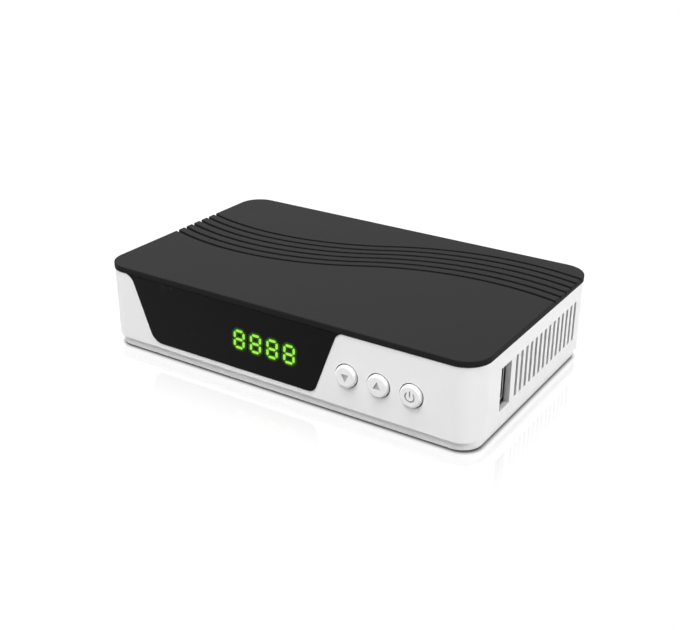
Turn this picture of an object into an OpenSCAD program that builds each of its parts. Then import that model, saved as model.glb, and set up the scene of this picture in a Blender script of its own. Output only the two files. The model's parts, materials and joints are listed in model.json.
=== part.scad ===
// Digital television receiver: moulded housing, push buttons, display, boards and sockets.
// Millimetres. +Z is up, the front faces -Y, the right-hand side is +X.
// The origin lies under the middle of the whole part, on the surface that the feet stand on.

/* [Housing] */
// Width of the cover, the widest piece
body_w = 166; // [156:1:200]
// Depth of the cover
body_d = 99.4; // [94:0.2:130]
// Corner radius of the cover in plan
corner_r = 9.9; // [7:0.1:12]
// Height of the white case between plinth and cover
case_h = 28.7; // [27:0.1:36]
// Height of the plinth below the case
plinth_h = 3.8; // [3.2:0.1:5]
// How far the plinth lies inside the cover's edge
plinth_inset = 1.6; // [1.2:0.1:2]
// How far the case lies inside the cover's edge
case_inset = 0.25; // [0.1:0.05:0.5]
// Thickness of the cover plate
cover_t = 2.4; // [2:0.1:4]
// Thickness of the case walls
wall_t = 2.2; // [1.8:0.1:2.8]
// Thickness of the base floor
floor_t = 2.2; // [1.6:0.1:2.6]
// Thickness of the plinth's upright wall
plinth_wall = 2; // [1.6:0.1:2.6]
// How far the feet lift the plinth
foot_h = 0.8; // [0.5:0.1:3]
// Radius of a foot
foot_r = 5; // [4:0.1:6]
// Depth of a foot's recess in the floor
foot_recess = 0.6; // [0.3:0.1:1]
// Distance of a foot's centre from the sides
foot_in_x = 19; // [17:0.5:26]
// Distance of a foot's centre from the front and rear edges
foot_in_y = 13; // [11:0.5:20]
// Radius of the case's lower outer edge
case_edge_r = 1; // [0.4:0.1:1.4]
// Radius of the cover's upper edge
cover_edge_r = 0.4; // [0.2:0.1:0.8]
// Radius of the plinth's lower edge
plinth_edge_r = 0.6; // [0.3:0.1:1]

/* [Floor vents] */
// Number of vents in each row
vent_count = 13; // [5:1:13]
// Distance from one vent to the next
vent_pitch = 7; // [5:0.1:8]
// Width of a vent
vent_w = 2; // [1:0.1:3]
// Length of a vent
vent_l = 22; // [10:0.5:24]
// Distance of a row's middle from the middle of the floor
vent_row = 15; // [13:0.5:16]

/* [Locating lips and screws] */
// Height of the cover's locating lip
lip_h = 2; // [1:0.1:3]
// Thickness of the cover's locating lip
lip_t = 1.4; // [1:0.1:2]
// Height of the base's locating rim above the case's lower edge
rim_h = 1.4; // [0.8:0.1:1.6]
// Thickness of the base's locating rim
rim_t = 1.4; // [1:0.1:2]
// Gap between a lip or rim and the case wall
lip_gap = 0.15; // [0.05:0.05:0.3]
// Room between the ends of a lip or rim and the window's flange
lip_clear = 2; // [0.5:0.1:3]
// Distance of a screw tower's axis from the inner faces of the walls
tower_in = 7.1; // [6.5:0.1:9]
// Radius of a screw tower on the base
tower_r = 4.2; // [4:0.1:5]
// Height of a screw tower's top above the floor's upper face
tower_h = 11; // [8:0.5:14]
// Radius of a screw boss under the cover
boss_r = 3.6; // [3:0.1:4.5]
// Radius of a case screw's shank
screw_r = 1.4; // [1.2:0.05:1.6]
// Radius of a case screw's head
screw_head_r = 2.7; // [2.4:0.1:3]
// Height of a case screw's head
screw_head_h = 2; // [1.5:0.1:2.2]
// How far a case screw reaches into the cover's boss
screw_grip = 9; // [6:0.5:12]
// Depth of the screw head's seat above the floor's upper face
screw_seat = 3; // [2:0.1:4]
// Gap round a screw's shank in the piece that it grips
grip_gap = 0.05; // [0.02:0.01:0.1]
// Gap round a screw's shank or head in the piece that it passes through
pass_gap = 0.3; // [0.2:0.05:0.4]

/* [Cover grooves] */
// Number of wave grooves
groove_count = 6; // [3:1:7]
// Width of a groove
groove_w = 1.5; // [0.8:0.1:2.5]
// Depth of a groove
groove_depth = 1; // [0.4:0.1:1.4]
// Distance from one groove to the next, front to back
groove_pitch = 5.06; // [4:0.02:6]
// Place of the front groove's lowest point, from the cover's front edge
groove_front = 38.5; // [30:0.5:45]
// Place of the wave's trough, from the middle of the cover
wave_low_x = -48; // [-60:1:-40]
// Place of the wave's crest, from the middle of the cover
wave_high_x = 56; // [45:1:65]
// Rise of the wave from trough to crest
wave_rise = 27.3; // [15:0.1:30]

/* [Front window] */
// Height of the white strip under the window
win_base = 2.15; // [1.8:0.05:4]
// Distance of the window's lower left end from the case's left side
win_left_in = 24.05; // [23:0.05:32]
// How much further left the window's upper edge reaches, before its flare
win_slant_left = 10.1; // [4:0.1:11]
// Distance from the window's lower right end to the first button
win_to_button = 14; // [12.5:0.1:16]
// How much further right the window's upper edge reaches, before its flare
win_slant_right = 9.95; // [4:0.05:11]
// Radius of the window's lower left corner
win_corner_left = 6; // [3:0.1:8]
// Radius of the window's lower right corner
win_corner_right = 3.7; // [2:0.1:6]
// Radius of the flare at the window's upper left
win_flare_left = 5; // [2:0.1:6]
// Radius of the flare at the window's upper right
win_flare_right = 4; // [2:0.1:5]
// Gap between the window and its opening
win_gap = 0.1; // [0.05:0.01:0.2]
// Width of the flange that holds the window behind the wall
win_flange = 1.6; // [1:0.1:2]
// Thickness of the window's flange
win_flange_t = 1; // [0.8:0.1:1.4]

/* [Buttons] */
// Distance of the last button from the case's right side
button_in = 24.4; // [22.5:0.1:26]
// Distance from one button to the next
button_pitch = 13.1; // [12:0.1:13.5]
// Height of the button row above the case's lower edge
button_z = 13; // [12:0.1:15]
// Radius of a button cap
button_r = 4.26; // [3.6:0.02:4.6]
// Gap round a button cap
button_gap = 0.42; // [0.15:0.01:0.5]
// How far a button's face stands out from the case wall
button_proud = 1.3; // [0.8:0.1:2.5]
// Radius of the rounding round a button's face
button_edge_r = 0.85; // [0.3:0.05:1]
// How much wider the button's flange is than the cap
button_lip = 1.1; // [0.6:0.1:1.4]
// Thickness of the button's flange
button_lip_t = 1; // [0.8:0.1:1.2]
// Thickness of the cap's face and wall
button_skin = 1.2; // [0.8:0.1:1.6]
// Gap between a button's flange and the wall at rest
button_rest_gap = 0.1; // [0.05:0.05:0.2]
// Travel of a button
button_travel = 0.3; // [0.2:0.05:0.5]
// Radius of a button's stem
stem_r = 2; // [1.9:0.1:2.4]
// Radius of a switch plunger
plunger_r = 1.75; // [1.4:0.05:1.8]
// Gap round a switch plunger
plunger_gap = 0.15; // [0.1:0.05:0.25]
// How far a plunger stands out of its switch
plunger_out = 1.5; // [1:0.1:1.8]
// How far a plunger reaches into its switch
plunger_in = 1.5; // [1:0.1:1.8]
// Width and height of a switch body
switch_w = 6; // [5.5:0.1:6.4]
// Depth of a switch body
switch_d = 3.5; // [3.2:0.1:3.8]

/* [Display] */
// Distance from the display's middle to the window's lower right end
display_in = 24.25; // [20:0.05:28]
// Width of the display housing
display_w = 30.2; // [29:0.1:32]
// Height of the display housing
display_h = 10.6; // [9.6:0.1:12]
// Depth of the display housing
display_d = 6; // [5.8:0.1:7]
// Height of a digit
digit_h = 8.1; // [6:0.1:8.6]
// Width of a digit
digit_w = 5.4; // [4.2:0.1:5.8]
// Distance from one digit to the next
digit_pitch = 7.68; // [7:0.02:7.8]
// Number of digits
digit_count = 4; // [2:1:4]
// Lean of the digits to the right, in degrees
digit_lean = 2.5; // [0:0.5:8]
// Width of a lit segment
segment_t = 1.25; // [0.8:0.05:1.4]
// Depth of a lit segment
segment_d = 1.2; // [0.6:0.1:2]
// Gap between one segment and the next
segment_gap = 0.4; // [0.2:0.01:0.5]
// Gap between a segment and its well in the housing
well_gap = 0.03; // [0.02:0.01:0.05]
// Gap between the display's face and the window
display_gap = 0.25; // [0.1:0.05:1]

/* [Boards] */
// Thickness of both boards
board_t = 1.6; // [1.2:0.1:2]
// Height of the main board's posts above the floor's upper face
post_h = 6.6; // [6:0.1:8]
// Radius of a board post
post_r = 3; // [2.6:0.1:3.6]
// Radius of a board screw's shank
board_screw_r = 1.1; // [0.9:0.05:1.3]
// Length of a board screw's shank
board_screw_l = 7; // [6:0.1:8]
// Radius of a board screw's head
board_head_r = 2.5; // [2:0.1:2.8]
// Height of a board screw's head
board_head_h = 1.6; // [1.2:0.1:2]
// Gap between the main board and what stands beside it
board_gap = 0.8; // [0.5:0.1:1.2]
// Gap between the main board and the rear wall
board_rear_gap = 3.2; // [2.8:0.1:4]
// Gap between the main board and the right wall, beside the side socket
board_tab_gap = 2; // [1.5:0.1:3]
// Distance of the board posts from the board's side edges
post_in = 8.5; // [8:0.1:12]
// Distance of the front posts from the board's front edge
post_front = 5; // [4:0.1:7]
// Distance of the rear posts from the board's front edge
post_rear = 48; // [44:0.5:50]
// Lower edge of the front board above the floor's upper face
front_board_low = 5; // [4:0.1:6]
// Height of the front board
front_board_h = 21; // [19:0.1:22]
// Gap between the front board's right rail and the screw tower beside it
rail_to_tower = 0.4; // [0.2:0.1:1]
// Gap between the front board's left rail and the infrared receiver
rail_to_part = 1.2; // [0.8:0.1:3]
// Gap between the front board and its rails
rail_gap = 0.05; // [0.02:0.01:0.15]
// Length of a rail along the front board
rail_grip = 2.5; // [2:0.1:3]
// Thickness of a rail's walls
rail_wall = 1.5; // [1.2:0.1:1.6]
// Height of the rails above the floor's upper face
rail_h = 21; // [14:0.5:24]
// Gap between the front board and the main board
board_space = 2; // [1.8:0.1:2.6]
// Number of pins that join the two boards
link_count = 8; // [4:1:8]
// Distance between those pins
link_pitch = 2.54; // [2:0.01:2.54]
// Distance from the middle of the row of link pins to the first button
link_in = 11.65; // [11:0.05:14]
// How far the link pins stand out of the front board
link_tip = 0.6; // [0.3:0.1:1]
// Gap between the link's plastic bar and the board's front edge
link_gap = 0.1; // [0.05:0.05:0.3]
// Thickness of a link pin
link_pin = 0.64; // [0.5:0.01:0.7]
// Width and height of the link's plastic bar
link_bar = 2.5; // [2:0.1:2.6]
// Distance from the infrared receiver to the display's middle
infrared_in = 23.5; // [20:0.1:26]
// Width of the infrared receiver
infrared_w = 5.6; // [5:0.1:6]

/* [Side vents and socket] */
// Number of vent slots in each side
slot_count = 14; // [6:1:15]
// Width of a vent slot
slot_w = 2; // [1:0.05:2.2]
// Height of a vent slot
slot_h = 16.3; // [10:0.1:18]
// Distance from one slot to the next
slot_pitch = 4.1; // [3.4:0.005:4.2]
// Place of the first slot, from the cover's front edge
slot_front = 31.75; // [30:0.05:34]
// Height of the slots' middle above the case's lower edge
slot_z = 14; // [12:0.1:15]
// Place of the side socket, from the cover's front edge
port_front = 22.85; // [21:0.05:24]
// Width of the cut-out for the side socket
port_w = 8.1; // [7.4:0.1:10]
// Height of the cut-out for the side socket
port_h = 16.85; // [15:0.05:17.5]
// Inner width of the socket
socket_w = 5.12; // [5:0.01:5.2]
// Inner height of the socket
socket_h = 12.5; // [12.4:0.01:12.6]
// Thickness of the socket's sheet metal
socket_t = 0.3; // [0.25:0.01:0.4]
// Width of the socket's turned-out rim
socket_rim = 0.3; // [0.2:0.05:0.5]
// Inner corner radius of the socket
socket_corner = 0.8; // [0.4:0.1:1.2]
// Height of the socket's shell above the main board
socket_lift = 0.6; // [0.5:0.1:1]
// Length of the socket's shell
socket_l = 14; // [13:0.1:15]
// Thickness of the socket's tongue
tongue_t = 1.84; // [1.7:0.01:1.9]
// Height of the socket's tongue
tongue_h = 11.1; // [10.8:0.1:11.3]
// How far the tongue's end lies inside the socket's mouth
tongue_back = 2.2; // [1.8:0.1:3]
// Length of the block that carries the tongue
tongue_root = 4; // [3:0.1:5]
// Space on the contact side of the tongue
tongue_space = 2.28; // [2.2:0.01:2.3]
// Gap between the socket's mouth and the case wall
socket_gap = 0.15; // [0.1:0.05:0.3]

/* [Rear panel and sockets] */
// Distance from the case's lower edge to the panel opening
panel_low = 3.6; // [3.3:0.1:4.2]
// Distance from the panel opening to the cover
panel_top = 3; // [2.6:0.1:4]
// Width of the panel's flange behind the wall
panel_flange = 1.6; // [1.2:0.1:1.8]
// Thickness of the panel's flange
panel_flange_t = 1; // [0.8:0.1:1.4]
// Room between the panel's flange and the rounded corners
panel_clear = 0.5; // [0.2:0.1:2]
// Gap between the panel and its opening
panel_gap = 0.1; // [0.05:0.05:0.2]
// Gap between a socket and its hole in the panel
hole_gap = 0.3; // [0.2:0.05:0.5]
// Gap between the socket bodies and the panel
body_gap = 0.25; // [0.1:0.05:0.4]
// Height of the round sockets' axes above the main board
socket_axis = 6.3; // [6.2:0.1:6.8]
// How far the antenna sockets stand out from the panel
antenna_out = 9; // [8:0.1:12]
// Radius of the antenna sockets' bodies
antenna_r = 6; // [5.6:0.1:6.2]
// Bore radius of the antenna input
antenna_bore_r = 4.8; // [4.7:0.01:4.9]
// Outer radius of the antenna output
antenna_plug_r = 4.76; // [4.7:0.01:4.8]
// Bore radius of the antenna output
antenna_plug_bore_r = 4.1; // [4:0.05:4.2]
// Depth of the antenna sockets' bores
antenna_depth = 9; // [8:0.1:10]
// Outer radius of the antenna input's centre contact
contact_r = 1.95; // [1.7:0.05:2.2]
// Bore radius of the antenna input's centre contact
contact_bore_r = 1.2; // [1.15:0.01:1.25]
// Radius of the antenna output's centre pin
antenna_pin_r = 1.15; // [1.1:0.01:1.2]
// How far the centre contacts end inside their mouths
contact_back = 1; // [0.5:0.1:2]
// Thickness of the centre contact's closed end
contact_floor = 1; // [0.5:0.1:2]
// Thickness of the antenna sockets' insulators
insulator_t = 2.5; // [2:0.1:3.5]
// How far the collars of the rear sockets stand out from the panel
collar_out = 0.6; // [0.3:0.1:1]
// Distance between the two antenna sockets
antenna_pitch = 17; // [15:0.5:18]
// Width of the tuner can
tuner_w = 34; // [32:0.5:36]
// Depth of the tuner can
tuner_d = 28; // [24:0.5:30]
// Height of the tuner can
tuner_h = 13; // [12.6:0.1:14]
// Width of the audio socket's body
audio_w = 10; // [9.4:0.1:11]
// Depth of the audio socket's body
audio_d = 9; // [8:0.1:11]
// Outer radius of the audio socket's sleeve
audio_r = 4.15; // [4.1:0.01:4.2]
// Wall of the audio socket's sleeve
audio_wall = 0.6; // [0.5:0.05:0.7]
// Radius of the collar at the audio socket's foot
audio_collar_r = 4.9; // [4.6:0.1:5]
// Bore radius of the audio socket's centre contact
audio_bore_r = 1.6; // [1.55:0.01:1.65]
// How far the audio socket stands out from the panel
audio_out = 8; // [7:0.1:9]
// How far the insulator ends inside the audio socket's sleeve
audio_back = 0.8; // [0.4:0.1:1.5]
// Width of the video socket's shell
video_w = 15; // [14.8:0.1:15.2]
// Height of the video socket's shell
video_h = 5.6; // [5.4:0.1:5.8]
// Thickness of the video socket's sheet metal
video_t = 0.4; // [0.3:0.05:0.5]
// Length of the video socket's shell
video_l = 11.5; // [10:0.1:13]
// How far the video socket stands out from the panel
video_out = 0.5; // [0:0.1:1]
// Width of the 21-pin socket
av_w = 47; // [45:0.5:48]
// Height of the 21-pin socket
av_h = 14; // [13:0.1:15]
// Depth of the 21-pin socket behind the panel's outer face
av_d = 13; // [12:0.1:15]
// How far the 21-pin socket stands out from the panel
av_out = 1; // [0.5:0.1:2]
// Wall of the 21-pin socket
av_wall = 1.6; // [1.2:0.1:2]
// Width of the groove round the 21-pin socket's contact block
av_groove = 1.9; // [1.6:0.1:2.2]
// Depth of that groove
av_depth = 9; // [7:0.1:10]
// Number of contact slots in each row of the 21-pin socket
av_count = 10; // [6:1:10]
// Width of the power inlet's body
jack_w = 9; // [8.8:0.1:10]
// Height of the power inlet's body
jack_h = 11; // [10.6:0.1:12]
// Depth of the power inlet's body
jack_d = 12; // [11:0.1:14]
// Radius of the power inlet's collar
jack_r = 4; // [3.8:0.05:4.3]
// Bore radius of the power inlet
jack_bore_r = 3.1; // [2.9:0.05:3.2]
// Depth of the power inlet's bore
jack_depth = 9.5; // [9:0.1:11]
// Radius of the power inlet's centre pin
jack_pin_r = 1; // [0.8:0.05:1.25]
// How far the centre pin ends inside the power inlet's mouth
jack_pin_back = 1; // [0.5:0.1:2]

/* [Parts on the main board] */
// Middle of the main chip, from the middle of the board
chip_x = 2; // [-2:0.5:6]
// Middle of the main chip, from the board's front edge
chip_y = 28; // [24:0.5:30]
// Side of the main chip
chip_w = 20; // [14:1:24]
// Height of the main chip
chip_h = 1.6; // [1.2:0.1:2]
// Height of the heat sink
sink_h = 9; // [6:0.5:11]
// Number of fins on the heat sink
fin_count = 7; // [4:1:8]
// Thickness of a fin and of the heat sink's foot
fin_t = 1.3; // [0.8:0.1:1.6]
// Distance from the memory chip to the main chip
memory_step = 25; // [20:0.5:28]
// Width of the memory chip
memory_w = 11; // [8:0.5:12]
// Depth of the memory chip
memory_d = 13; // [8:0.5:14]
// Height of the memory chip
memory_h = 1.2; // [0.8:0.1:1.6]
// Distance from the flash chip to the memory chip
flash_step = 15; // [13:0.5:16]
// Width of the flash chip
flash_w = 8; // [5:0.5:10]
// Depth of the flash chip
flash_d = 6; // [4:0.5:8]
// Height of the flash chip
flash_h = 1.8; // [0.8:0.1:2.2]
// Distance from the crystal to the main chip
crystal_step = 18; // [16:0.5:20]
// Length of the crystal's can
crystal_l = 10; // [8:0.1:12]
// Radius of the crystal's round ends
crystal_r = 2.3; // [1.8:0.1:2.5]
// Height of the crystal's can
crystal_h = 3.5; // [2:0.1:4]
// Distance of the inductors from the middle of the board
inductor_x = 30; // [26:0.5:36]
// Distance of the first inductor from the board's front edge
inductor_y = 38; // [36:0.5:40]
// Distance from one inductor to the next
inductor_pitch = 12; // [10:0.5:13]
// Side of an inductor
inductor_w = 8; // [6:0.1:9]
// Height of an inductor
inductor_h = 4.5; // [3:0.1:6]
// Distance of the outer capacitors from the middle of the board
can_x = 48; // [44:0.5:49]
// Distance of the first row of capacitors from the board's front edge
can_y = 14; // [12:0.5:16]
// Distance from one capacitor to the next
can_pitch = 11; // [9:0.5:13]
// Radius of a large capacitor
large_can_r = 4; // [3:0.1:4.2]
// Height of a large capacitor
large_can_h = 12; // [8:0.5:16]
// Radius of a small capacitor
small_can_r = 3.15; // [2:0.05:3.5]
// Height of a small capacitor
small_can_h = 11; // [5:0.5:14]
// Distance of the tuner's capacitor from the tuner
tuner_can_step = 10; // [6:0.5:14]
// Distance of the header's capacitor from the board's front edge
link_can_y = 10; // [7:0.5:12]

/* [Hidden] */

// Fineness of round surfaces
$fn = 72;
// How far a cut runs past the faces that it opens
over = 1;

// Levels from the feet up
floor_z = foot_h + floor_t;
case_z = foot_h + plinth_h;
cover_z = case_z + case_h;
board_z = floor_z + post_h;
board_top = board_z + board_t;
tower_top = floor_z + tower_h;
seat_z = floor_z + screw_seat;

// Planes from front to back, with the whole part centred on the origin
front_out = button_proud - case_inset;
rear_out = max(antenna_out, audio_out) - case_inset;
mid_y = (front_out - rear_out) / 2;
front_y = mid_y - body_d / 2;
rear_y = mid_y + body_d / 2;
case_front = front_y + case_inset;
wall_front = case_front + wall_t;
case_rear = rear_y - case_inset;
wall_rear = case_rear - wall_t;
panel_back = wall_rear - panel_flange_t;
sockets_y = panel_back - body_gap;
display_face = wall_front + win_flange_t + display_gap;
front_board_y = display_face + display_d;
front_board_back = front_board_y + board_t;
board_front = front_board_back + board_space;
board_rear = wall_rear - board_rear_gap;

// Planes across the width
case_side = body_w / 2 - case_inset;
wall_side = case_side - wall_t;
tower_x = wall_side - tower_in;
board_side = tower_x - tower_r - board_gap;
flange_side = body_w / 2 - corner_r - panel_clear;
panel_side = flange_side - panel_flange;
port_x = wall_side - socket_gap;

// Places of repeated pieces
button_row_z = case_z + button_z;
button_xs = [for (i = [2:-1:0]) case_side - button_in - i * button_pitch];
tower_spots = [for (sx = [-1, 1], y = [wall_front + tower_in, wall_rear - tower_in]) [sx * tower_x, y]];
post_spots = [for (sx = [-1, 1], y = [post_front, post_rear]) [sx * (board_side - post_in), board_front + y]];
foot_spots = [for (sx = [-1, 1], sy = [-1, 1])
    [sx * (body_w / 2 - foot_in_x), mid_y + sy * (body_d / 2 - foot_in_y)]];
link_x = button_xs[0] - link_in;
link_xs = [for (i = [0:link_count - 1]) link_x + (i - (link_count - 1) / 2) * link_pitch];
link_z = board_top + link_bar / 2;

// Ends of the window's slanted sides, and the display behind it
win_bottom_left = win_left_in - case_side;
win_bottom_right = button_xs[0] - win_to_button;
display_x = win_bottom_right - display_in;
infrared_x = display_x - infrared_in;

// Front board, from the infrared receiver to the screw tower
front_board_left = infrared_x - infrared_w / 2 - rail_grip - rail_to_part;
front_board_right = tower_x - tower_r - rail_to_tower - rail_grip;
front_board_z = floor_z + front_board_low;

// Places of the rear sockets, spread evenly over the main board
rear_gap = (2 * board_side - tuner_w - audio_w - video_w - av_w - jack_w) / 6;
tuner_x = board_side - rear_gap - tuner_w / 2;
audio_x = tuner_x - tuner_w / 2 - rear_gap - audio_w / 2;
video_x = audio_x - audio_w / 2 - rear_gap - video_w / 2;
av_x = video_x - video_w / 2 - rear_gap - av_w / 2;
jack_x = av_x - av_w / 2 - rear_gap - jack_w / 2;
antenna_in_x = tuner_x + antenna_pitch / 2;
antenna_out_x = tuner_x - antenna_pitch / 2;
axis_z = board_top + socket_axis;
antenna_l = case_rear + antenna_out - sockets_y;
audio_end = case_rear + audio_out;

// Side socket
port_y = front_y + port_front;
port_z = board_top + socket_lift + socket_t + socket_h / 2;
shell = [socket_w, socket_h] + 2 * socket_t * [1, 1];
// Middle of the tongue, which lies nearer one side of the socket
tongue_y = port_y - socket_w / 2 + tongue_space + tongue_t / 2;

// Parts of the main board
chip_spot = [chip_x, board_front + chip_y];
memory_spot = chip_spot + [memory_step, 0];
flash_spot = memory_spot + [0, flash_step];
crystal_spot = chip_spot + [0, crystal_step];
inductor_spots = [for (i = [0, 1]) [-inductor_x, board_front + inductor_y + i * inductor_pitch]];
large_can_spots = [for (i = [0, 1]) [i * can_pitch - can_x, board_front + can_y]];
small_can_spots = concat(
    [for (spot = large_can_spots) spot + [0, can_pitch]],
    [[link_x, board_front + link_can_y], [tuner_x, sockets_y - tuner_d - tuner_can_step]]
);

// Window outline: two slanted sides between the white strip and the cover
win_low = case_z + win_base;
win_lean_left = atan(win_slant_left / (cover_z - win_low));
win_lean_right = atan(win_slant_right / (cover_z - win_low));
function win_left(z) = win_bottom_left - (z - win_low) * tan(win_lean_left);
function win_right(z) = win_bottom_right + (z - win_low) * tan(win_lean_right);
low_left = [win_left(win_low + win_corner_left) + win_corner_left / cos(win_lean_left),
    win_low + win_corner_left];
low_right = [win_right(win_low + win_corner_right) - win_corner_right / cos(win_lean_right),
    win_low + win_corner_right];
flare_left = [win_left(cover_z - win_flare_left) - win_flare_left / cos(win_lean_left),
    cover_z - win_flare_left];
flare_right = [win_right(cover_z - win_flare_right) + win_flare_right / cos(win_lean_right),
    cover_z - win_flare_right];

// Wave of the cover's grooves: two arcs of one radius that meet halfway up
wave_run = wave_high_x - wave_low_x;
wave_r = (wave_run * wave_run + wave_rise * wave_rise) / (4 * wave_rise);
wave_half = asin(wave_run / 2 / wave_r);

// Points on an arc about a centre
function arc(c, r, a0, a1, steps = 12) =
    [for (i = [0:steps]) c + r * [cos(a0 + (a1 - a0) * i / steps), sin(a0 + (a1 - a0) * i / steps)]];

// Where the end of a window flare meets the window's flat top
function flare_end(r, gap) = asin((r - gap) / (r + gap));

// Outline of the housing in plan, moved in from the cover's edge
module plan(inset) {
    round_slab([0, mid_y], [body_w, body_d] - 2 * inset * [1, 1], corner_r - inset);
}

// Ring of the housing's outline
module ring(inset, thickness) {
    difference() {
        plan(inset);
        plan(inset + thickness);
    }
}

// Section of a wall with a rounded outer edge below or above; x runs out from a corner's axis
module wall_section(inset, thickness, low, high, low_r, high_r) {
    outer = corner_r - inset;
    polygon(concat(
        [[outer - thickness, low]],
        low_r > 0 ? arc([outer - low_r, low + low_r], low_r, -90, 0, 6) : [[outer, low]],
        high_r > 0 ? arc([outer - high_r, high - high_r], high_r, 0, 90, 6) : [[outer, high]],
        [[outer - thickness, high]]
    ));
}

// A wall's section, carried round the housing's outline
module carried_round() {
    reach = [body_w / 2 - corner_r, body_d / 2 - corner_r];
    translate([0, mid_y, 0])
        for (side = [0:3])
            rotate([0, 0, 90 * side])
                translate([reach[side % 2], reach[(side + 1) % 2], 0]) {
                    rotate_extrude(angle = 90)
                        children();
                    rotate([90, 0, 0])
                        linear_extrude(2 * reach[(side + 1) % 2])
                            children();
                }
}

// A shape in the X-Z plane, carried along Y
module along_y(y0, y1) {
    translate([0, y1, 0])
        rotate([90, 0, 0])
            linear_extrude(y1 - y0)
                children();
}

// A shape in the Y-Z plane, carried along X
module along_x(x0, x1) {
    translate([x0, 0, 0])
        rotate([90, 0, 90])
            linear_extrude(x1 - x0)
                children();
}

// A rectangle given by its middle
module slab(centre, size) {
    translate(centre)
        square(size, center = true);
}

// A rectangle with round corners, given by its middle
module round_slab(centre, size, r) {
    slab(centre, size - [2 * r, 0]);
    slab(centre, size - [0, 2 * r]);
    for (sx = [-1, 1], sy = [-1, 1])
        translate(centre + [sx * (size[0] / 2 - r), sy * (size[1] / 2 - r)])
            circle(r);
}

// A block given by two corners
module block(low, high) {
    translate(low)
        cube(high - low);
}

// A round piece that points backwards from a place
module facing_back(x, y, z) {
    translate([x, y, z])
        rotate([-90, 0, 0])
            children();
}

// A round piece that points forwards from a place
module facing_front(x, y, z) {
    translate([x, y, z])
        rotate([90, 0, 0])
            children();
}

// A pan head screw that points upwards, with its head's seat at the origin
module pan_screw(shank_r, shank_l, head_r, head_h) {
    bevel = head_h * 0.4;
    cylinder(r = shank_r, h = shank_l);
    rotate_extrude()
        polygon([[0, -head_h], [head_r - bevel, -head_h], [head_r, bevel - head_h], [head_r, 0], [0, 0]]);
}

// Outline of the window, drawn smaller by a gap all round
module window_shape(gap, above) {
    top = cover_z - gap;
    polygon(concat(
        arc(low_left, win_corner_left - gap, 180 + win_lean_left, 270),
        arc(low_right, win_corner_right - gap, 270, 360 - win_lean_right),
        arc(flare_right, win_flare_right + gap, 180 - win_lean_right, 180 - flare_end(win_flare_right, gap)),
        above > 0 ? [[flare_right[0], top + above], [flare_left[0], top + above]] : [],
        arc(flare_left, win_flare_left + gap, flare_end(win_flare_left, gap), win_lean_left)
    ));
}

// The window's flange: the window's straight-sided outline, made wider
module window_flange_shape() {
    low = win_low - win_flange;
    top = cover_z - win_gap;
    side_left = win_flange / cos(win_lean_left);
    side_right = win_flange / cos(win_lean_right);
    polygon([[win_left(low) - side_left, low], [win_right(low) + side_right, low],
        [win_right(top) + side_right, top], [win_left(top) - side_left, top]]);
}

// One wave groove, from the cover's left edge to its right edge
module wave_groove(low_y) {
    reach_left = asin((body_w / 2 + wave_low_x + over) / wave_r);
    reach_right = asin((body_w / 2 - wave_high_x + over) / wave_r);
    translate([wave_low_x, low_y + wave_r, 0])
        rotate([0, 0, 270 - reach_left])
            rotate_extrude(angle = reach_left + wave_half)
                groove_section();
    translate([wave_high_x, low_y + wave_rise - wave_r, 0])
        rotate([0, 0, 90 - reach_right])
            rotate_extrude(angle = reach_right + wave_half)
                groove_section();
}

module groove_section() {
    translate([wave_r - groove_w / 2, 0])
        square([groove_w, groove_depth + over]);
}

module top_cover() {
    color("#2c2d2f")
    difference() {
        union() {
            translate([0, 0, cover_z])
                linear_extrude(cover_t)
                    plan(cover_t);
            carried_round()
                wall_section(0, 2 * cover_t, cover_z, cover_z + cover_t, 0, cover_edge_r);
            difference() {
                translate([0, 0, cover_z - lip_h])
                    linear_extrude(lip_h)
                        ring(case_inset + wall_t + lip_gap, lip_t);
                block([win_left(cover_z) - win_flange - lip_clear, wall_front - over, cover_z - lip_h - over],
                    [win_right(cover_z) + win_flange + lip_clear, wall_front + lip_gap + lip_t + over,
                        cover_z]);
                block([-flange_side - over, wall_rear - lip_gap - lip_t - over, cover_z - lip_h - over],
                    [flange_side + over, wall_rear + over, cover_z]);
            }
            for (p = tower_spots)
                translate([p[0], p[1], tower_top])
                    cylinder(r = boss_r, h = cover_z - tower_top);
        }
        translate([0, 0, cover_z + cover_t - groove_depth])
            for (i = [0:groove_count - 1])
                wave_groove(front_y + groove_front + i * groove_pitch);
        for (p = tower_spots)
            translate([p[0], p[1], tower_top - over])
                cylinder(r = screw_r + grip_gap, h = screw_grip + 2 * over);
    }
}

module case_shell() {
    color("#f2f2f2")
    difference() {
        carried_round()
            wall_section(case_inset, wall_t, case_z, cover_z, case_edge_r, 0);
        along_y(case_front - over, wall_front + over)
            window_shape(0, over);
        for (x = button_xs)
            facing_front(x, wall_front + over, button_row_z)
                cylinder(r = button_r + button_gap, h = wall_t + 2 * over);
        along_x(wall_side - over, case_side + over)
            slab([port_y, port_z], [port_w, port_h]);
        for (sx = [-1, 1])
            along_x(sx * (case_side - wall_t / 2) - wall_t, sx * (case_side - wall_t / 2) + wall_t)
                for (i = [0:slot_count - 1])
                    slab([front_y + slot_front + i * slot_pitch, case_z + slot_z], [slot_w, slot_h]);
        along_y(wall_rear - over, case_rear + over)
            panel_opening(0);
    }
}

// Opening in the rear wall, drawn smaller by a gap
module panel_opening(gap) {
    translate([-panel_side + gap, case_z + panel_low + gap])
        square([2 * (panel_side - gap), case_h - panel_low - panel_top - 2 * gap]);
}

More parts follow.
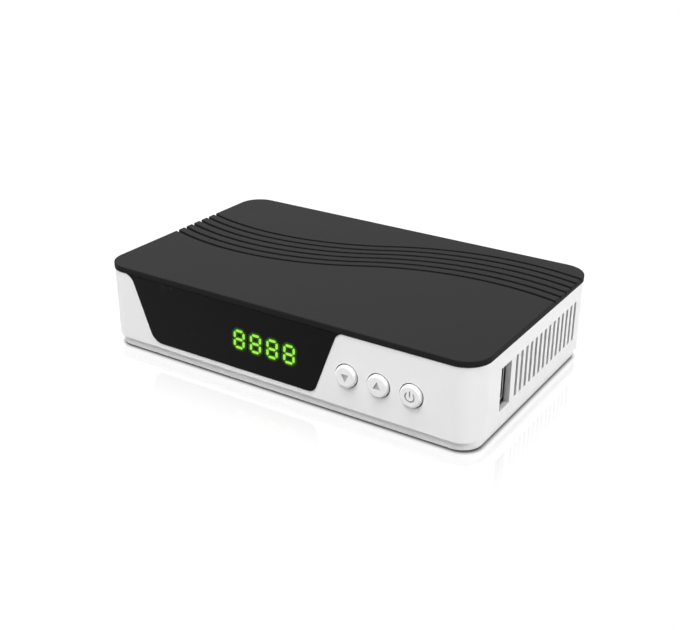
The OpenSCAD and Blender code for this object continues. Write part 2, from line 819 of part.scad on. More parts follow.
module base_tray() {
    rim_inset = case_inset + wall_t + lip_gap;
    color("#d9dadb")
    difference() {
        union() {
            translate([0, 0, foot_h])
                linear_extrude(floor_t)
                    plan(plinth_inset + plinth_wall / 2);
            carried_round()
                wall_section(plinth_inset, plinth_wall, foot_h, case_z, plinth_edge_r, 0);
            difference() {
                translate([0, 0, floor_z])
                    linear_extrude(case_z + rim_h - floor_z)
                        ring(rim_inset, rim_t);
                block([win_left(win_low) - win_flange - lip_clear, wall_front, case_z],
                    [win_right(win_low) + win_flange + lip_clear, wall_front + lip_gap + rim_t + over,
                        case_z + rim_h + over]);
            }
            for (p = tower_spots)
                translate([p[0], p[1], foot_h])
                    cylinder(r = tower_r, h = tower_top - foot_h);
            for (p = post_spots)
                translate([p[0], p[1], foot_h])
                    cylinder(r = post_r, h = board_z - foot_h);
            for (x = [front_board_left, front_board_right])
                along_x(x - rail_grip, x + rail_grip)
                    translate([front_board_y - rail_gap - rail_wall, foot_h])
                        square([board_t + 2 * (rail_gap + rail_wall), floor_t + rail_h]);
        }
        block([front_board_left - rail_gap, front_board_y - rail_gap, front_board_z],
            [front_board_right + rail_gap, front_board_back + rail_gap, floor_z + rail_h + over]);
        for (p = tower_spots)
            translate([p[0], p[1], foot_h - over]) {
                cylinder(r = screw_r + pass_gap, h = tower_top - foot_h + 2 * over);
                cylinder(r = screw_head_r + pass_gap, h = seat_z - foot_h + over);
            }
        for (p = post_spots)
            translate([p[0], p[1], floor_z])
                cylinder(r = board_screw_r + grip_gap, h = post_h + over);
        for (p = foot_spots)
            translate([p[0], p[1], foot_h - over])
                cylinder(r = foot_r + grip_gap, h = foot_recess + over);
        floor_vents();
    }
}

// Two rows of slots through the floor, under the main board
module floor_vents() {
    for (row = [-1, 1], i = [0:vent_count - 1])
        translate([(i - (vent_count - 1) / 2) * vent_pitch, mid_y + row * vent_row, foot_h - over])
            linear_extrude(floor_t + 2 * over)
                square([vent_w, vent_l], center = true);
}

module rear_panel() {
    color("#3a3b3d")
    difference() {
        union() {
            along_y(wall_rear, case_rear)
                panel_opening(panel_gap);
            along_y(panel_back, wall_rear)
                panel_opening(-panel_flange);
        }
        along_y(panel_back - over, case_rear + over) {
            translate([antenna_in_x, axis_z])
                circle(antenna_r + hole_gap);
            translate([antenna_out_x, axis_z])
                circle(antenna_r + hole_gap);
            translate([audio_x, axis_z])
                circle(audio_collar_r + hole_gap);
            translate([jack_x, axis_z])
                circle(jack_r + hole_gap);
            video_outline(-hole_gap);
            av_outline(-hole_gap);
        }
    }
}

module front_window() {
    color("#101214")
    union() {
        along_y(front_y, wall_front)
            window_shape(win_gap, 0);
        along_y(wall_front, wall_front + win_flange_t)
            window_flange_shape();
    }
}

module rubber_feet() {
    color("#1d1d1d")
    for (p = foot_spots)
        translate([p[0], p[1], 0])
            rotate_extrude()
                polygon([[0, 0], [foot_r - foot_h / 2, 0], [foot_r, foot_h / 2],
                    [foot_r, foot_h + foot_recess], [0, foot_h + foot_recess]]);
}

module case_screws() {
    color("#8d9092")
    for (p = tower_spots)
        translate([p[0], p[1], seat_z])
            pan_screw(screw_r, tower_top + screw_grip - seat_z, screw_head_r, screw_head_h);
}

module board_screws() {
    color("#8d9092")
    for (p = post_spots)
        translate([p[0], p[1], board_top])
            mirror([0, 0, 1])
                pan_screw(board_screw_r, board_screw_l, board_head_r, board_head_h);
}

// A button: rounded cap, flange behind the wall, stem down to the switch plunger
module button(index) {
    lip_back = wall_front + button_rest_gap + button_lip_t;
    face = lip_back - (case_front - button_proud);
    stem = front_board_y - switch_d - plunger_out - lip_back;
    facing_front(button_xs[index], lip_back, button_row_z)
        rotate_extrude()
            polygon(concat(
                [[0, -stem], [stem_r, -stem], [stem_r, face - button_skin],
                    [button_r - button_skin, face - button_skin], [button_r - button_skin, 0],
                    [button_r + button_lip, 0], [button_r + button_lip, button_lip_t],
                    [button_r, button_lip_t]],
                arc([button_r - button_edge_r, face - button_edge_r], button_edge_r, 0, 90, 6),
                [[0, face]]
            ));
}

// The moving pin of a push switch
module plunger(index) {
    facing_front(button_xs[index], front_board_y - switch_d + plunger_in, button_row_z)
        cylinder(r = plunger_r, h = plunger_in + plunger_out);
}

module down_button() { color("#f4f4f4") button(0); }
module up_button() { color("#f4f4f4") button(1); }
module power_button() { color("#f4f4f4") button(2); }
module down_plunger() { color("#1c1c1c") plunger(0); }
module up_plunger() { color("#1c1c1c") plunger(1); }
module power_plunger() { color("#1c1c1c") plunger(2); }

module switch_bodies() {
    color("#7b7d80")
    difference() {
        along_y(front_board_y - switch_d, front_board_y)
            for (x = button_xs)
                slab([x, button_row_z], [switch_w, switch_w]);
        for (x = button_xs)
            facing_front(x, front_board_y - switch_d + plunger_in + button_travel + plunger_gap, button_row_z)
                cylinder(r = plunger_r + plunger_gap, h = switch_d);
    }
}

module front_board() {
    color("#2f6b3a")
    along_y(front_board_y, front_board_back)
        difference() {
            translate([front_board_left, front_board_z])
                square([front_board_right - front_board_left, front_board_h]);
            for (x = link_xs)
                translate([x, link_z])
                    circle(link_pin, $fn = 24);
        }
}

// One bar of a digit, pointed at both ends, that leans with its digit
module segment(centre, length, width, upright) {
    outline = [[-length / 2, 0], [(width - length) / 2, -width / 2], [(length - width) / 2, -width / 2],
        [length / 2, 0], [(length - width) / 2, width / 2], [(width - length) / 2, width / 2]];
    polygon([for (p = outline)
        let (corner = centre + (upright ? [-p[1], p[0]] : p))
        corner + [corner[1] * tan(digit_lean), 0]]);
}

// All bars of all digits, drawn larger by a gap
module digit_segments(gap) {
    column = (digit_w - segment_t) / 2;
    row = (digit_h - segment_t) / 2;
    width = segment_t + 2 * gap;
    for (d = [0:digit_count - 1])
        translate([display_x + (d - (digit_count - 1) / 2) * digit_pitch, button_row_z]) {
            for (z = [-row, 0, row])
                segment([0, z], 2 * column - segment_gap + 2 * gap, width, false);
            for (x = [-column, column], z = [-row / 2, row / 2])
                segment([x, z], row - segment_gap + 2 * gap, width, true);
        }
}

module display_housing() {
    color("#1a1c1e")
    difference() {
        along_y(display_face, front_board_y)
            slab([display_x, button_row_z], [display_w, display_h]);
        along_y(display_face - over, display_face + segment_d)
            digit_segments(well_gap);
    }
}

module display_segments() {
    color("#9be24a")
    along_y(display_face, display_face + segment_d)
        digit_segments(0);
}

module infrared_receiver() {
    body_h = 6.9;
    body_t = 2.6;
    lens_r = 2.2;
    leg = 0.5;
    leg_pitch = 1.8;
    leg_drop = 2.3;
    stand_off = 0.8;
    body_back = front_board_y - stand_off;
    color("#202225")
    union() {
        along_y(body_back - body_t, body_back)
            slab([infrared_x, button_row_z], [infrared_w, body_h]);
        facing_front(infrared_x, body_back - body_t / 2, button_row_z)
            rotate_extrude()
                polygon(concat([[0, 0]], arc([0, body_t / 2], lens_r, 0, 90)));
        along_y(body_back - body_t / 2, front_board_y)
            for (i = [-1:1])
                slab([infrared_x + i * leg_pitch, button_row_z - leg_drop], [leg, leg]);
    }
}

module board_header() {
    color("#1f1f21")
    difference() {
        along_y(board_front + link_gap, board_front + link_gap + link_bar)
            slab([link_x, link_z], [link_count * link_pitch, link_bar]);
        along_y(board_front - over, board_front + link_bar)
            for (x = link_xs)
                slab([x, link_z], [link_pin + 2 * grip_gap, link_pin + 2 * grip_gap]);
    }
}

module header_pins() {
    color("#c9a54a")
    along_y(front_board_y - link_tip, board_front + link_bar)
        for (x = link_xs)
            slab([x, link_z], [link_pin, link_pin]);
}

module main_board() {
    color("#2f6b3a")
    translate([0, 0, board_z])
        linear_extrude(board_t)
            difference() {
                union() {
                    translate([-board_side, board_front])
                        square([2 * board_side, board_rear - board_front]);
                    translate([board_side - over, wall_front + tower_in + tower_r + board_gap])
                        square([wall_side - board_tab_gap - board_side + over,
                            wall_rear - wall_front - 2 * (tower_in + tower_r + board_gap)]);
                }
                for (p = post_spots)
                    translate(p)
                        circle(board_screw_r + pass_gap, $fn = 32);
            }
}

// A flat chip with one corner cut away
module flat_chip(spot, w, d, h) {
    cut = 0.8;
    translate([spot[0], spot[1], board_top])
        linear_extrude(h)
            polygon([[-w / 2 + cut, -d / 2], [w / 2, -d / 2], [w / 2, d / 2], [-w / 2, d / 2],
                [-w / 2, -d / 2 + cut]]);
}

module main_chip() { color("#222326") flat_chip(chip_spot, chip_w, chip_w, chip_h); }
module memory_chip() { color("#222326") flat_chip(memory_spot, memory_w, memory_d, memory_h); }
module flash_chip() { color("#222326") flat_chip(flash_spot, flash_w, flash_d, flash_h); }

module heat_sink() {
    fin_step = (chip_w - fin_t) / (fin_count - 1);
    color("#2a2b2d")
    translate([chip_spot[0] - chip_w / 2, chip_spot[1] - chip_w / 2, board_top + chip_h]) {
        cube([chip_w, chip_w, fin_t]);
        for (i = [0:fin_count - 1])
            translate([i * fin_step, 0, 0])
                cube([fin_t, chip_w, sink_h]);
    }
}

module crystal() {
    color("#b9bcbf")
    translate([0, 0, board_top])
        linear_extrude(crystal_h) {
            slab(crystal_spot, [crystal_l - 2 * crystal_r, 2 * crystal_r]);
            for (sx = [-1, 1])
                translate(crystal_spot + [sx * (crystal_l / 2 - crystal_r), 0])
                    circle(crystal_r);
        }
}

// An upright capacitor: a can with a rolled-in waist near its foot
module capacitor(spot, r, h) {
    waist = 0.4;
    waist_z = 1.6;
    translate([spot[0], spot[1], board_top])
        rotate_extrude()
            polygon([[0, 0], [r, 0], [r, waist_z - waist], [r - waist, waist_z], [r, waist_z + waist],
                [r, h - waist], [r - waist, h], [0, h]]);
}

module capacitors() {
    color("#26345a") {
        for (spot = large_can_spots)
            capacitor(spot, large_can_r, large_can_h);
        for (spot = small_can_spots)
            capacitor(spot, small_can_r, small_can_h);
    }
}

module inductors() {
    dish = 0.5;
    dish_rim = 1.2;
    color("#3b3c3f")
    for (p = inductor_spots)
        translate([p[0], p[1], board_top])
            difference() {
                linear_extrude(inductor_h)
                    square(inductor_w, center = true);
                translate([0, 0, inductor_h - dish])
                    cylinder(r = inductor_w / 2 - dish_rim, h = dish + over);
            }
}

module tuner_can() {
    lid = 0.5;
    lid_skirt = 3.9;
    color("#c3c6c8")
    union() {
        block([tuner_x - tuner_w / 2 + lid, sockets_y - tuner_d + lid, board_top],
            [tuner_x + tuner_w / 2 - lid, sockets_y, board_top + tuner_h - lid]);
        block([tuner_x - tuner_w / 2, sockets_y - tuner_d, board_top + tuner_h - lid_skirt],
            [tuner_x + tuner_w / 2, sockets_y, board_top + tuner_h]);
    }
}

// The antenna input: a stub with a bore for the plug's sleeve
module antenna_in_socket() {
    rim = 0.5;
    color("#c8cacc")
    facing_back(antenna_in_x, sockets_y, axis_z)
        rotate_extrude()
            polygon([[0, 0], [antenna_r, 0], [antenna_r, antenna_l - rim], [antenna_r - rim, antenna_l],
                [antenna_bore_r, antenna_l], [antenna_bore_r, antenna_l - antenna_depth],
                [0, antenna_l - antenna_depth]]);
}

// A disc with a hole, on the bottom of an antenna socket's bore
module antenna_disc(x, outer_r, inner_r) {
    facing_back(x, sockets_y + antenna_l - antenna_depth, axis_z)
        difference() {
            cylinder(r = outer_r - grip_gap, h = insulator_t);
            translate([0, 0, -over])
                cylinder(r = inner_r + grip_gap, h = insulator_t + 2 * over);
        }
}

module antenna_in_insulator() {
    color("#e9e4d6")
    antenna_disc(antenna_in_x, antenna_bore_r, contact_r);
}

module antenna_in_contact() {
    color("#c9a54a")
    facing_back(antenna_in_x, sockets_y + antenna_l - antenna_depth, axis_z)
        difference() {
            cylinder(r = contact_r, h = antenna_depth - contact_back);
            translate([0, 0, contact_floor])
                cylinder(r = contact_bore_r, h = antenna_depth);
        }
}

// The antenna output: a collar and a sleeve that a lead's socket slides over
module antenna_out_plug() {
    rim = 0.3;
    collar = case_rear + collar_out - sockets_y;
    color("#c8cacc")
    facing_back(antenna_out_x, sockets_y, axis_z)
        rotate_extrude()
            polygon([[0, 0], [antenna_r, 0], [antenna_r, collar], [antenna_plug_r, collar],
                [antenna_plug_r, antenna_l - rim], [antenna_plug_r - rim, antenna_l],
                [antenna_plug_bore_r, antenna_l], [antenna_plug_bore_r, antenna_l - antenna_depth],
                [0, antenna_l - antenna_depth]]);
}

module antenna_out_insulator() {
    color("#e9e4d6")
    antenna_disc(antenna_out_x, antenna_plug_bore_r, antenna_pin_r);
}

module antenna_out_pin() {
    tip = antenna_pin_r / 2;
    pin_l = antenna_depth - contact_back;
    color("#c9a54a")
    facing_back(antenna_out_x, sockets_y + antenna_l - antenna_depth, axis_z)
        rotate_extrude()
            polygon([[0, 0], [antenna_pin_r, 0], [antenna_pin_r, pin_l - tip], [antenna_pin_r - tip, pin_l],
                [0, pin_l]]);
}

module audio_socket_sleeve() {
    collar = case_rear + collar_out - sockets_y;
    sleeve_l = audio_end - sockets_y;
    color("#cfcfcf")
    facing_back(audio_x, sockets_y, axis_z)
        rotate_extrude()
            polygon([[audio_r - audio_wall, 0], [audio_collar_r, 0], [audio_collar_r, collar],
                [audio_r, collar], [audio_r, sleeve_l], [audio_r - audio_wall, sleeve_l]]);
}

module audio_socket_body() {
    nose = audio_end - sockets_y - audio_back;
    color("#d8721f")
    difference() {
        union() {
            block([audio_x - audio_w / 2, sockets_y - audio_d, board_top],
                [audio_x + audio_w / 2, sockets_y, axis_z + audio_w / 2]);
            facing_back(audio_x, sockets_y, axis_z)
                cylinder(r = audio_r - audio_wall - grip_gap, h = nose);
        }
        facing_back(audio_x, sockets_y, axis_z)
            cylinder(r = audio_bore_r, h = nose + over);
    }
}

// Outline of the flat video socket, with its lower corners cut away, drawn smaller by an inset
module video_outline(inset) {
    w = video_w / 2 - inset;
    cut = 1.6;
    low = board_top + inset;
    high = board_top + video_h - inset;
    polygon([[video_x - w + cut, low], [video_x + w - cut, low], [video_x + w, low + cut],
        [video_x + w, high], [video_x - w, high], [video_x - w, low + cut]]);
}

module video_socket_shell() {
    mouth = case_rear + video_out;
    color("#c9ccce")
    difference() {
        along_y(mouth - video_l, mouth)
            video_outline(0);
        along_y(mouth - video_l + video_t, mouth + over)
            video_outline(video_t);
    }
}

module video_socket_tongue() {
    mouth = case_rear + video_out;
    back = mouth - video_l + video_t;
    root = 3;
    end_back = 1.5;
    tongue_size = [11.7, 1];
    tongue_rise = 3.1;
    color("#17181a")
    union() {
        along_y(back, back + root)
            video_outline(video_t + grip_gap);
        along_y(back, mouth - end_back)
            slab([video_x, board_top + tongue_rise], tongue_size);
    }
}

// Outline of the 21-pin socket: one end is square, the other leans, drawn smaller by an inset
module av_outline(inset) {
    lean = 2.4;
    w = av_w / 2 - inset;
    low = board_top + inset;
    high = board_top + av_h - inset;
    polygon([[av_x - w, low], [av_x + w, low], [av_x + w, high], [av_x - w + lean, high],
        [av_x - w, high - 2 * lean]]);
}

module av_socket() {
    mouth = case_rear + av_out;
    slot_end = 2;
    slot_shift = 0.5;
    slot_row = 1.7;
    slot = [1, 2.6];
    slot_step = (av_w - 2 * (av_wall + av_groove + slot_end)) / av_count;
    color("#232426")
    difference() {
        along_y(case_rear - av_d, mouth)
            av_outline(0);
        along_y(mouth - av_depth, mouth + over)
            difference() {
                av_outline(av_wall);
                av_outline(av_wall + av_groove);
            }
        along_y(mouth - av_depth, mouth + over)
            for (i = [0:av_count - 1], sz = [-1, 1])
                slab([av_x + (i - (av_count - 1) / 2) * slot_step + slot_shift,
                    board_top + av_h / 2 + sz * slot_row], slot);
    }
}

module dc_jack() {
    mouth = case_rear + collar_out;
    color("#1d1e20")
    difference() {
        union() {
            block([jack_x - jack_w / 2, sockets_y - jack_d, board_top],
                [jack_x + jack_w / 2, sockets_y, board_top + jack_h]);
            facing_back(jack_x, sockets_y - over, axis_z)
                cylinder(r = jack_r, h = mouth - sockets_y + over);
        }
        facing_back(jack_x, mouth - jack_depth, axis_z)
            cylinder(r = jack_bore_r, h = jack_depth + over);
    }
}

module dc_jack_pin() {
    color("#c9ccce")
    facing_back(jack_x, case_rear + collar_out - jack_depth, axis_z)
        cylinder(r = jack_pin_r, h = jack_depth - jack_pin_back);
}

// The upright side socket: a folded shell with a turned-out rim and feet on the board
module data_socket_shell() {
    foot_l = 3;
    color("#c9ccce")
    difference() {
        union() {
            along_x(port_x - socket_l, port_x)
                round_slab([port_y, port_z], shell, socket_corner + socket_t);
            along_x(port_x - socket_t, port_x)
                round_slab([port_y, port_z], shell + 2 * socket_rim * [1, 1],
                    socket_corner + socket_t + socket_rim);
            along_x(port_x - socket_l, port_x - socket_l + foot_l)
                translate([port_y - shell[0] / 2, board_top])
                    square([shell[0], port_z - board_top]);
        }
        along_x(port_x - socket_l + socket_t, port_x + over)
            round_slab([port_y, port_z], [socket_w, socket_h], socket_corner);
    }
}

module data_socket_tongue() {
    back = port_x - socket_l + socket_t;
    color("#17181a")
    union() {
        along_x(back, back + tongue_root)
            round_slab([port_y, port_z], [socket_w, socket_h] - 2 * grip_gap * [1, 1], socket_corner);
        along_x(back, port_x - tongue_back)
            slab([tongue_y, port_z], [tongue_t, tongue_h]);
    }
}

module data_socket_contacts() {
    contact_t = 0.2;
    contact_w = 1;
    contact_step = 2.3;
    contact_end = 0.6;
    color("#d6b45a")
    along_x(port_x - socket_l + socket_t + tongue_root, port_x - tongue_back - contact_end)
        for (i = [0:3])
            slab([tongue_y - (tongue_t + contact_t) / 2, port_z + (i - 1.5) * contact_step],
                [contact_t, contact_w]);
}

top_cover();
case_shell();
base_tray();
rear_panel();
front_window();
rubber_feet();
case_screws();
board_screws();
down_button();
up_button();
power_button();
down_plunger();
up_plunger();
power_plunger();
switch_bodies();
front_board();
display_housing();
display_segments();
infrared_receiver();
board_header();
header_pins();
main_board();
main_chip();
heat_sink();
memory_chip();
flash_chip();
crystal();
capacitors();
inductors();
tuner_can();
antenna_in_socket();
antenna_in_insulator();
antenna_in_contact();
antenna_out_plug();
antenna_out_insulator();
antenna_out_pin();
audio_socket_sleeve();
audio_socket_body();
video_socket_shell();
video_socket_tongue();
av_socket();
dc_jack();
dc_jack_pin();
data_socket_shell();
data_socket_tongue();
data_socket_contacts();
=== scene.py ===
"""Looks of a small digital TV receiver: finishes, dressed shells and fine pieces round its CAD frame."""

import json
import math

import bpy
from bpy.props import FloatProperty, FloatVectorProperty, PointerProperty
from bpy.types import Operator, Panel, PropertyGroup
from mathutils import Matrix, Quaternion, Vector

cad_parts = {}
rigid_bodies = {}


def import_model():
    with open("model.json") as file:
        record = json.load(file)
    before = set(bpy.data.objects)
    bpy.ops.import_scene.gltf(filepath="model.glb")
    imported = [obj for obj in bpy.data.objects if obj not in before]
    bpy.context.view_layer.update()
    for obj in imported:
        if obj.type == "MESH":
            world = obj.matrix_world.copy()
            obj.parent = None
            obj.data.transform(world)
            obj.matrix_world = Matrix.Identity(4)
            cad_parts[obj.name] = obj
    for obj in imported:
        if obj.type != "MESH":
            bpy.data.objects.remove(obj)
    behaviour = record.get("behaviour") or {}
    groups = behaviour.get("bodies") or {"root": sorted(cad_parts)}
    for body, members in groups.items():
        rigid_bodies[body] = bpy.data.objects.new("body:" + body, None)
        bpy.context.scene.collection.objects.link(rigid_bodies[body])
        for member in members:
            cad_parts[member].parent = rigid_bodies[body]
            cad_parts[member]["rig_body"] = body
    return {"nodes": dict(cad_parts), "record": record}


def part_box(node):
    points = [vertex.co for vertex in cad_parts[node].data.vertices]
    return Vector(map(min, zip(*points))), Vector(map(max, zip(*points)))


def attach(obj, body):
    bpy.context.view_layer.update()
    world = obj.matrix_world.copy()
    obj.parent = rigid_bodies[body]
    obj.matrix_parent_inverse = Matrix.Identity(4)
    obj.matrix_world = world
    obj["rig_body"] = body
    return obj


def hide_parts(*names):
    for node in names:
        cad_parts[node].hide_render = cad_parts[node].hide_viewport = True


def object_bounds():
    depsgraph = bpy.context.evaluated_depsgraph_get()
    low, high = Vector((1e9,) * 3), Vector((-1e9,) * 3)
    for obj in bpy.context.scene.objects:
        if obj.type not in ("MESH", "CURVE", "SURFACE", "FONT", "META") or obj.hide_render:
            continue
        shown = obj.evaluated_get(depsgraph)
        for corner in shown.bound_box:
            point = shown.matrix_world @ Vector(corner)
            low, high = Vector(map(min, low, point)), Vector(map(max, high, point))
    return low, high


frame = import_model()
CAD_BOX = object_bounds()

bl_info = {
    "name": "Digital TV Receiver",
    "version": (1, 0, 0),
    "blender": (4, 5, 0),
    "location": "View3D > Sidebar > Receiver",
    "description": "Finishes, dressed shells and fine pieces of a set-top box",
    "category": "Object",
}

MM = 0.001
NODES = frame["nodes"]
SLOT_OF = {row["node"]: row["material_slot"] for row in frame["record"]["subparts"]}
WHITE = (1, 1, 1)

LOW = 0
HIGH = 1

# Points closer than WELD are one point, and those within TOUCH of a plane or an arc lie on it
WELD = 0.0005 * MM
TOUCH = 0.01 * MM

# Faces that turn less than FLAT are joined, and edges that turn more than a corner stay sharp or are softened
FLAT = math.radians(1)
SHELL_CORNER = math.radians(38)
CARVED_CORNER = math.radians(35)


# Sizes and colours that a user would change

def length(name, description, default_mm):
    """A length property, given in millimetres."""
    return FloatProperty(name=name, description=description, default=default_mm * MM,
                         unit="LENGTH", precision=5)


def colour(name, description, default):
    """A linear colour property."""
    return FloatVectorProperty(name=name, description=description, default=default,
                               subtype="COLOR", min=0, max=1)


def level(name, description, default):
    """A plain number property."""
    return FloatProperty(name=name, description=description, default=default, min=0)


def angle(name, description, default_deg):
    """An angle property, given in degrees."""
    return FloatProperty(name=name, description=description, default=math.radians(default_deg),
                         subtype="ANGLE")


class ReceiverSizes(PropertyGroup):
    """Sizes of the fine shapes that the scene adds."""
    edge: length("Edge", "Width of the softened edges of moulded shells", 0.12)
    fine_edge: length("Fine edge", "Width of the softened edges of the contact strips and the seal", 0.02)
    # The caps are white up to this edge behind the wall's face and painted black behind it, as shade in the
    # gap
    gap_shade_edge: length("Spray edge", "How far behind the wall's face the white spray of the caps ends", 0.35)
    icon_depth: length("Icon depth", "Depth of the signs sunk in the buttons", 0.5)
    arrow_w: length("Arrow width", "Width of the up and down arrows", 3.1)
    arrow_h: length("Arrow height", "Height of the up and down arrows", 3.0)
    ring_d: length("Ring diameter", "Outer diameter of the power sign's ring", 4.05)
    ring_line: length("Ring line", "Width of the power sign's lines", 0.5)
    ring_gap: angle("Ring gap", "Half of the opening at the top of the power sign", 38)
    bar_low: length("Bar foot", "How far the power sign's bar starts below the centre", 0.1)
    bar_high: length("Bar head", "How far the power sign's bar ends above the centre", 2.25)
    case_corner: length("Case corner", "Radius of the case's upright corners", 9.65)
    case_hem: length("Case hem", "Rounding of the case's lower edge that is drawn out crisp", 1.0)
    bar_raise: length("Bar raise", "How far the display's lit bars stand in front of its face", 0.07)
    bar_trim: length("Bar trim", "How much smaller than its well's bar each lit bar is all round", 0.08)
    glow_w: length("Glow width", "How far the glow reaches round the display's lit bars", 0.65)
    # The black frame round the side socket's rim is painted shade for the gap between the rim and the wall
    gap_shade_out: length("Seal outside", "How far the side socket's seal reaches past the socket's rim", 0.25)
    gap_shade_in: length("Seal inside", "How much of the side socket's rim the seal covers", 0.1)
    gap_shade_t: length("Seal thickness", "Thickness of the side socket's seal", 0.12)
    gap_shade_corner: length("Seal corner", "Radius of the seal's corners", 1.2)
    # How far the painted shade in the side socket's mouth reaches
    mouth_wall: length("Mouth wall", "How far in from its outside the side socket is black", 0.5)
    mouth_lip: length("Mouth lip", "How far behind its rim the side socket is black", 0.05)
    recess_arm: length("Recess arm", "Length of each arm of a screw's cross recess", 1.5)
    recess_w: length("Recess width", "Width of each arm of a screw's cross recess", 0.7)
    recess_depth: length("Recess depth", "Depth of a screw's cross recess", 1.0)
    strip_pitch: length("Strip pitch", "Distance between the video socket's contact strips", 1.0)
    strip_w: length("Strip width", "Width of a contact strip", 0.45)
    strip_t: length("Strip thickness", "Thickness of a contact strip", 0.12)
    strip_l: length("Strip length", "Length of a contact strip on the video socket's tongue", 6.0)
    blade_pitch: length("Blade pitch", "Distance between the slits of the 21-pin socket", 3.6)
    blade_shift: length("Blade shift", "How far the slits stand right of the 21-pin socket's middle", 0.5)
    blade_row: length("Blade row", "Distance between the two rows of slits", 3.4)
    blade_h: length("Blade height", "Height of a contact blade in its slit", 2.2)
    blade_t: length("Blade thickness", "Thickness of a contact blade", 0.45)
    blade_l: length("Blade length", "Length of a contact blade", 7.0)
    blade_back: length("Blade back", "How far the blades end behind the 21-pin socket's mouth", 1.2)
    blade_edge: length("Blade edge", "Width of a contact blade's softened edges", 0.05)


class ReceiverColours(PropertyGroup):
    """Colours of the finishes, in linear light."""
    cover: colour("Cover", "Black moulded cover", (0.0168, 0.0168, 0.0171))
    case: colour("Case", "White case and buttons", (0.83, 0.83, 0.83))
    # A little lighter than the case's white: painted light that stands in for light bounced onto the plinth
    plinth: colour("Plinth", "White plinth", (0.86, 0.86, 0.86))
    # Black painted on the caps behind the wall's face: painted shade in the gap round each cap
    cap_gap_shade: colour("Cap moulding", "Black moulding of the buttons under their spray", (0.02, 0.02, 0.02))
    # Grey painted on the sunk faces of the signs as shade, over the real shading of the recesses
    sign: colour("Signs", "Floor of the signs sunk in the buttons", (0.52, 0.52, 0.52))
    smoke: colour("Smoke", "Tint of the window in front of the display", (0.012, 0.012, 0.012))
    lit: colour("Lit bars", "Light of the display's bars", (0.42, 1.0, 0.085))
    glow: colour("Glow", "Light that spreads round the display's bars", (0.014, 0.075, 0.0))
    shine: level("Shine", "Strength of the display's light behind the smoked window", 82.5)
    unlit: colour("Unlit bars", "Plastic of the display's bars", (0.02, 0.05, 0.02))
    display: colour("Display", "Housing of the display", (0.002, 0.002, 0.002))
    panel: colour("Rear panel", "Black rear panel", (0.012, 0.012, 0.013))
    socket: colour("Socket", "Black mouldings of the sockets", (0.012, 0.012, 0.013))
    orange: colour("Digital audio", "Body of the coaxial audio socket", (0.72, 0.16, 0.012))
    cream: colour("Insulator", "Insulators of the antenna sockets", (0.78, 0.74, 0.62))
    # Black painted inside the side socket's mouth: painted shade
    mouth_shade_black: colour("Lining", "Black inside of the side socket's mouth", (0.006, 0.006, 0.006))
    # The feet are real rubber; the same black on the frame round the side socket is painted shade
    rubber: colour("Rubber", "Rubber of the feet and the seal", (0.022, 0.022, 0.021))
    steel: colour("Steel", "Plating of the screws", (0.62, 0.62, 0.63))
    tin: colour("Tin", "Plating of the shields and socket shells", (0.8, 0.8, 0.79))
    gold: colour("Gold", "Plating of the contacts", (0.92, 0.68, 0.3))
    board: colour("Board", "Solder mask of the circuit boards", (0.005, 0.036, 0.014))
    solder: colour("Solder", "Tinned pads of the circuit boards", (0.72, 0.71, 0.68))
    switch: colour("Switch black", "Black mouldings of the push switches", (0.01, 0.01, 0.01))
    stem: colour("Switch grey", "Grey mouldings of the push switches", (0.2, 0.2, 0.21))
    chip: colour("Chip", "Moulded bodies of the chips", (0.016, 0.016, 0.017))
    sink: colour("Heat sink", "Black coat of the heat sink", (0.012, 0.012, 0.013))
    coil: colour("Coil", "Grey bodies of the coils", (0.05, 0.05, 0.052))
    sleeve: colour("Capacitor sleeve", "Shrink sleeve of the capacitors", (0.02, 0.035, 0.11))
    can: colour("Capacitor can", "Bare aluminium on top of the capacitors", (0.75, 0.75, 0.76))


class ReceiverStage(PropertyGroup):
    """Levels of the stage and the camera's place."""
    floor_size: length("Floor", "Side of the square floor", 8000)
    floor_glow: level("Floor glow", "Light that the floor shows to the camera by itself", 0.965)
    floor_white: level("Floor white", "Share of the light on the floor that the camera sees", 0.05)
    floor_bounce: level("Floor bounce", "Share of the light on the floor that lights the object", 0.36)
    # The dark line round the plinth is a painted contact shadow, drawn by distance from the plinth's outline
    floor_line: level("Floor line", "Glow that is left in the dark line under the plinth's edge", 0.08)
    floor_under: length("Floor under", "Where the dark line starts under the plinth", 1.3)
    floor_out: length("Floor out", "Where the dark line ends outside the plinth", 1.05)
    floor_side: length("Floor side", "How much further out the dark line lies beside the plinth", 0.45)
    floor_corner: length("Floor corner", "Radius of the dark line round the plinth's corners", 8)
    floor_sheen: level("Floor sheen", "Share of the object's mirror image in the floor, at the plinth", 0.2)
    floor_blur: level("Floor blur", "Roughness of the object's mirror image in the floor", 0.06)
    floor_reach: length("Floor reach", "How far from the plinth the floor mirrors the object", 34)
    world: level("World", "Light level of the surroundings", 0.14)
    upper: level("Upper lamp", "Power of the lamp above the front, in watts", 22.3)
    side: level("Side lamp", "Power of the lamp at the right side, in watts", 7.2)
    rear: level("Rear lamp", "Power of the lamp behind the left side, in watts", 6.0)
    lens: level("Lens", "Focal length on a 36 mm sensor", 55.83)
    azimuth: angle("Azimuth", "Camera's turn from the front towards the right", 33.014)
    elevation: angle("Elevation", "Camera's height above the horizon", 24.623)
    roll: angle("Roll", "Camera's turn about its own axis", 0.104)
    camera: FloatVectorProperty(name="Camera", description="Camera's place", subtype="TRANSLATION",
                                default=(0.20928, -0.33022, 0.19187), unit="LENGTH")


# Shader graphs

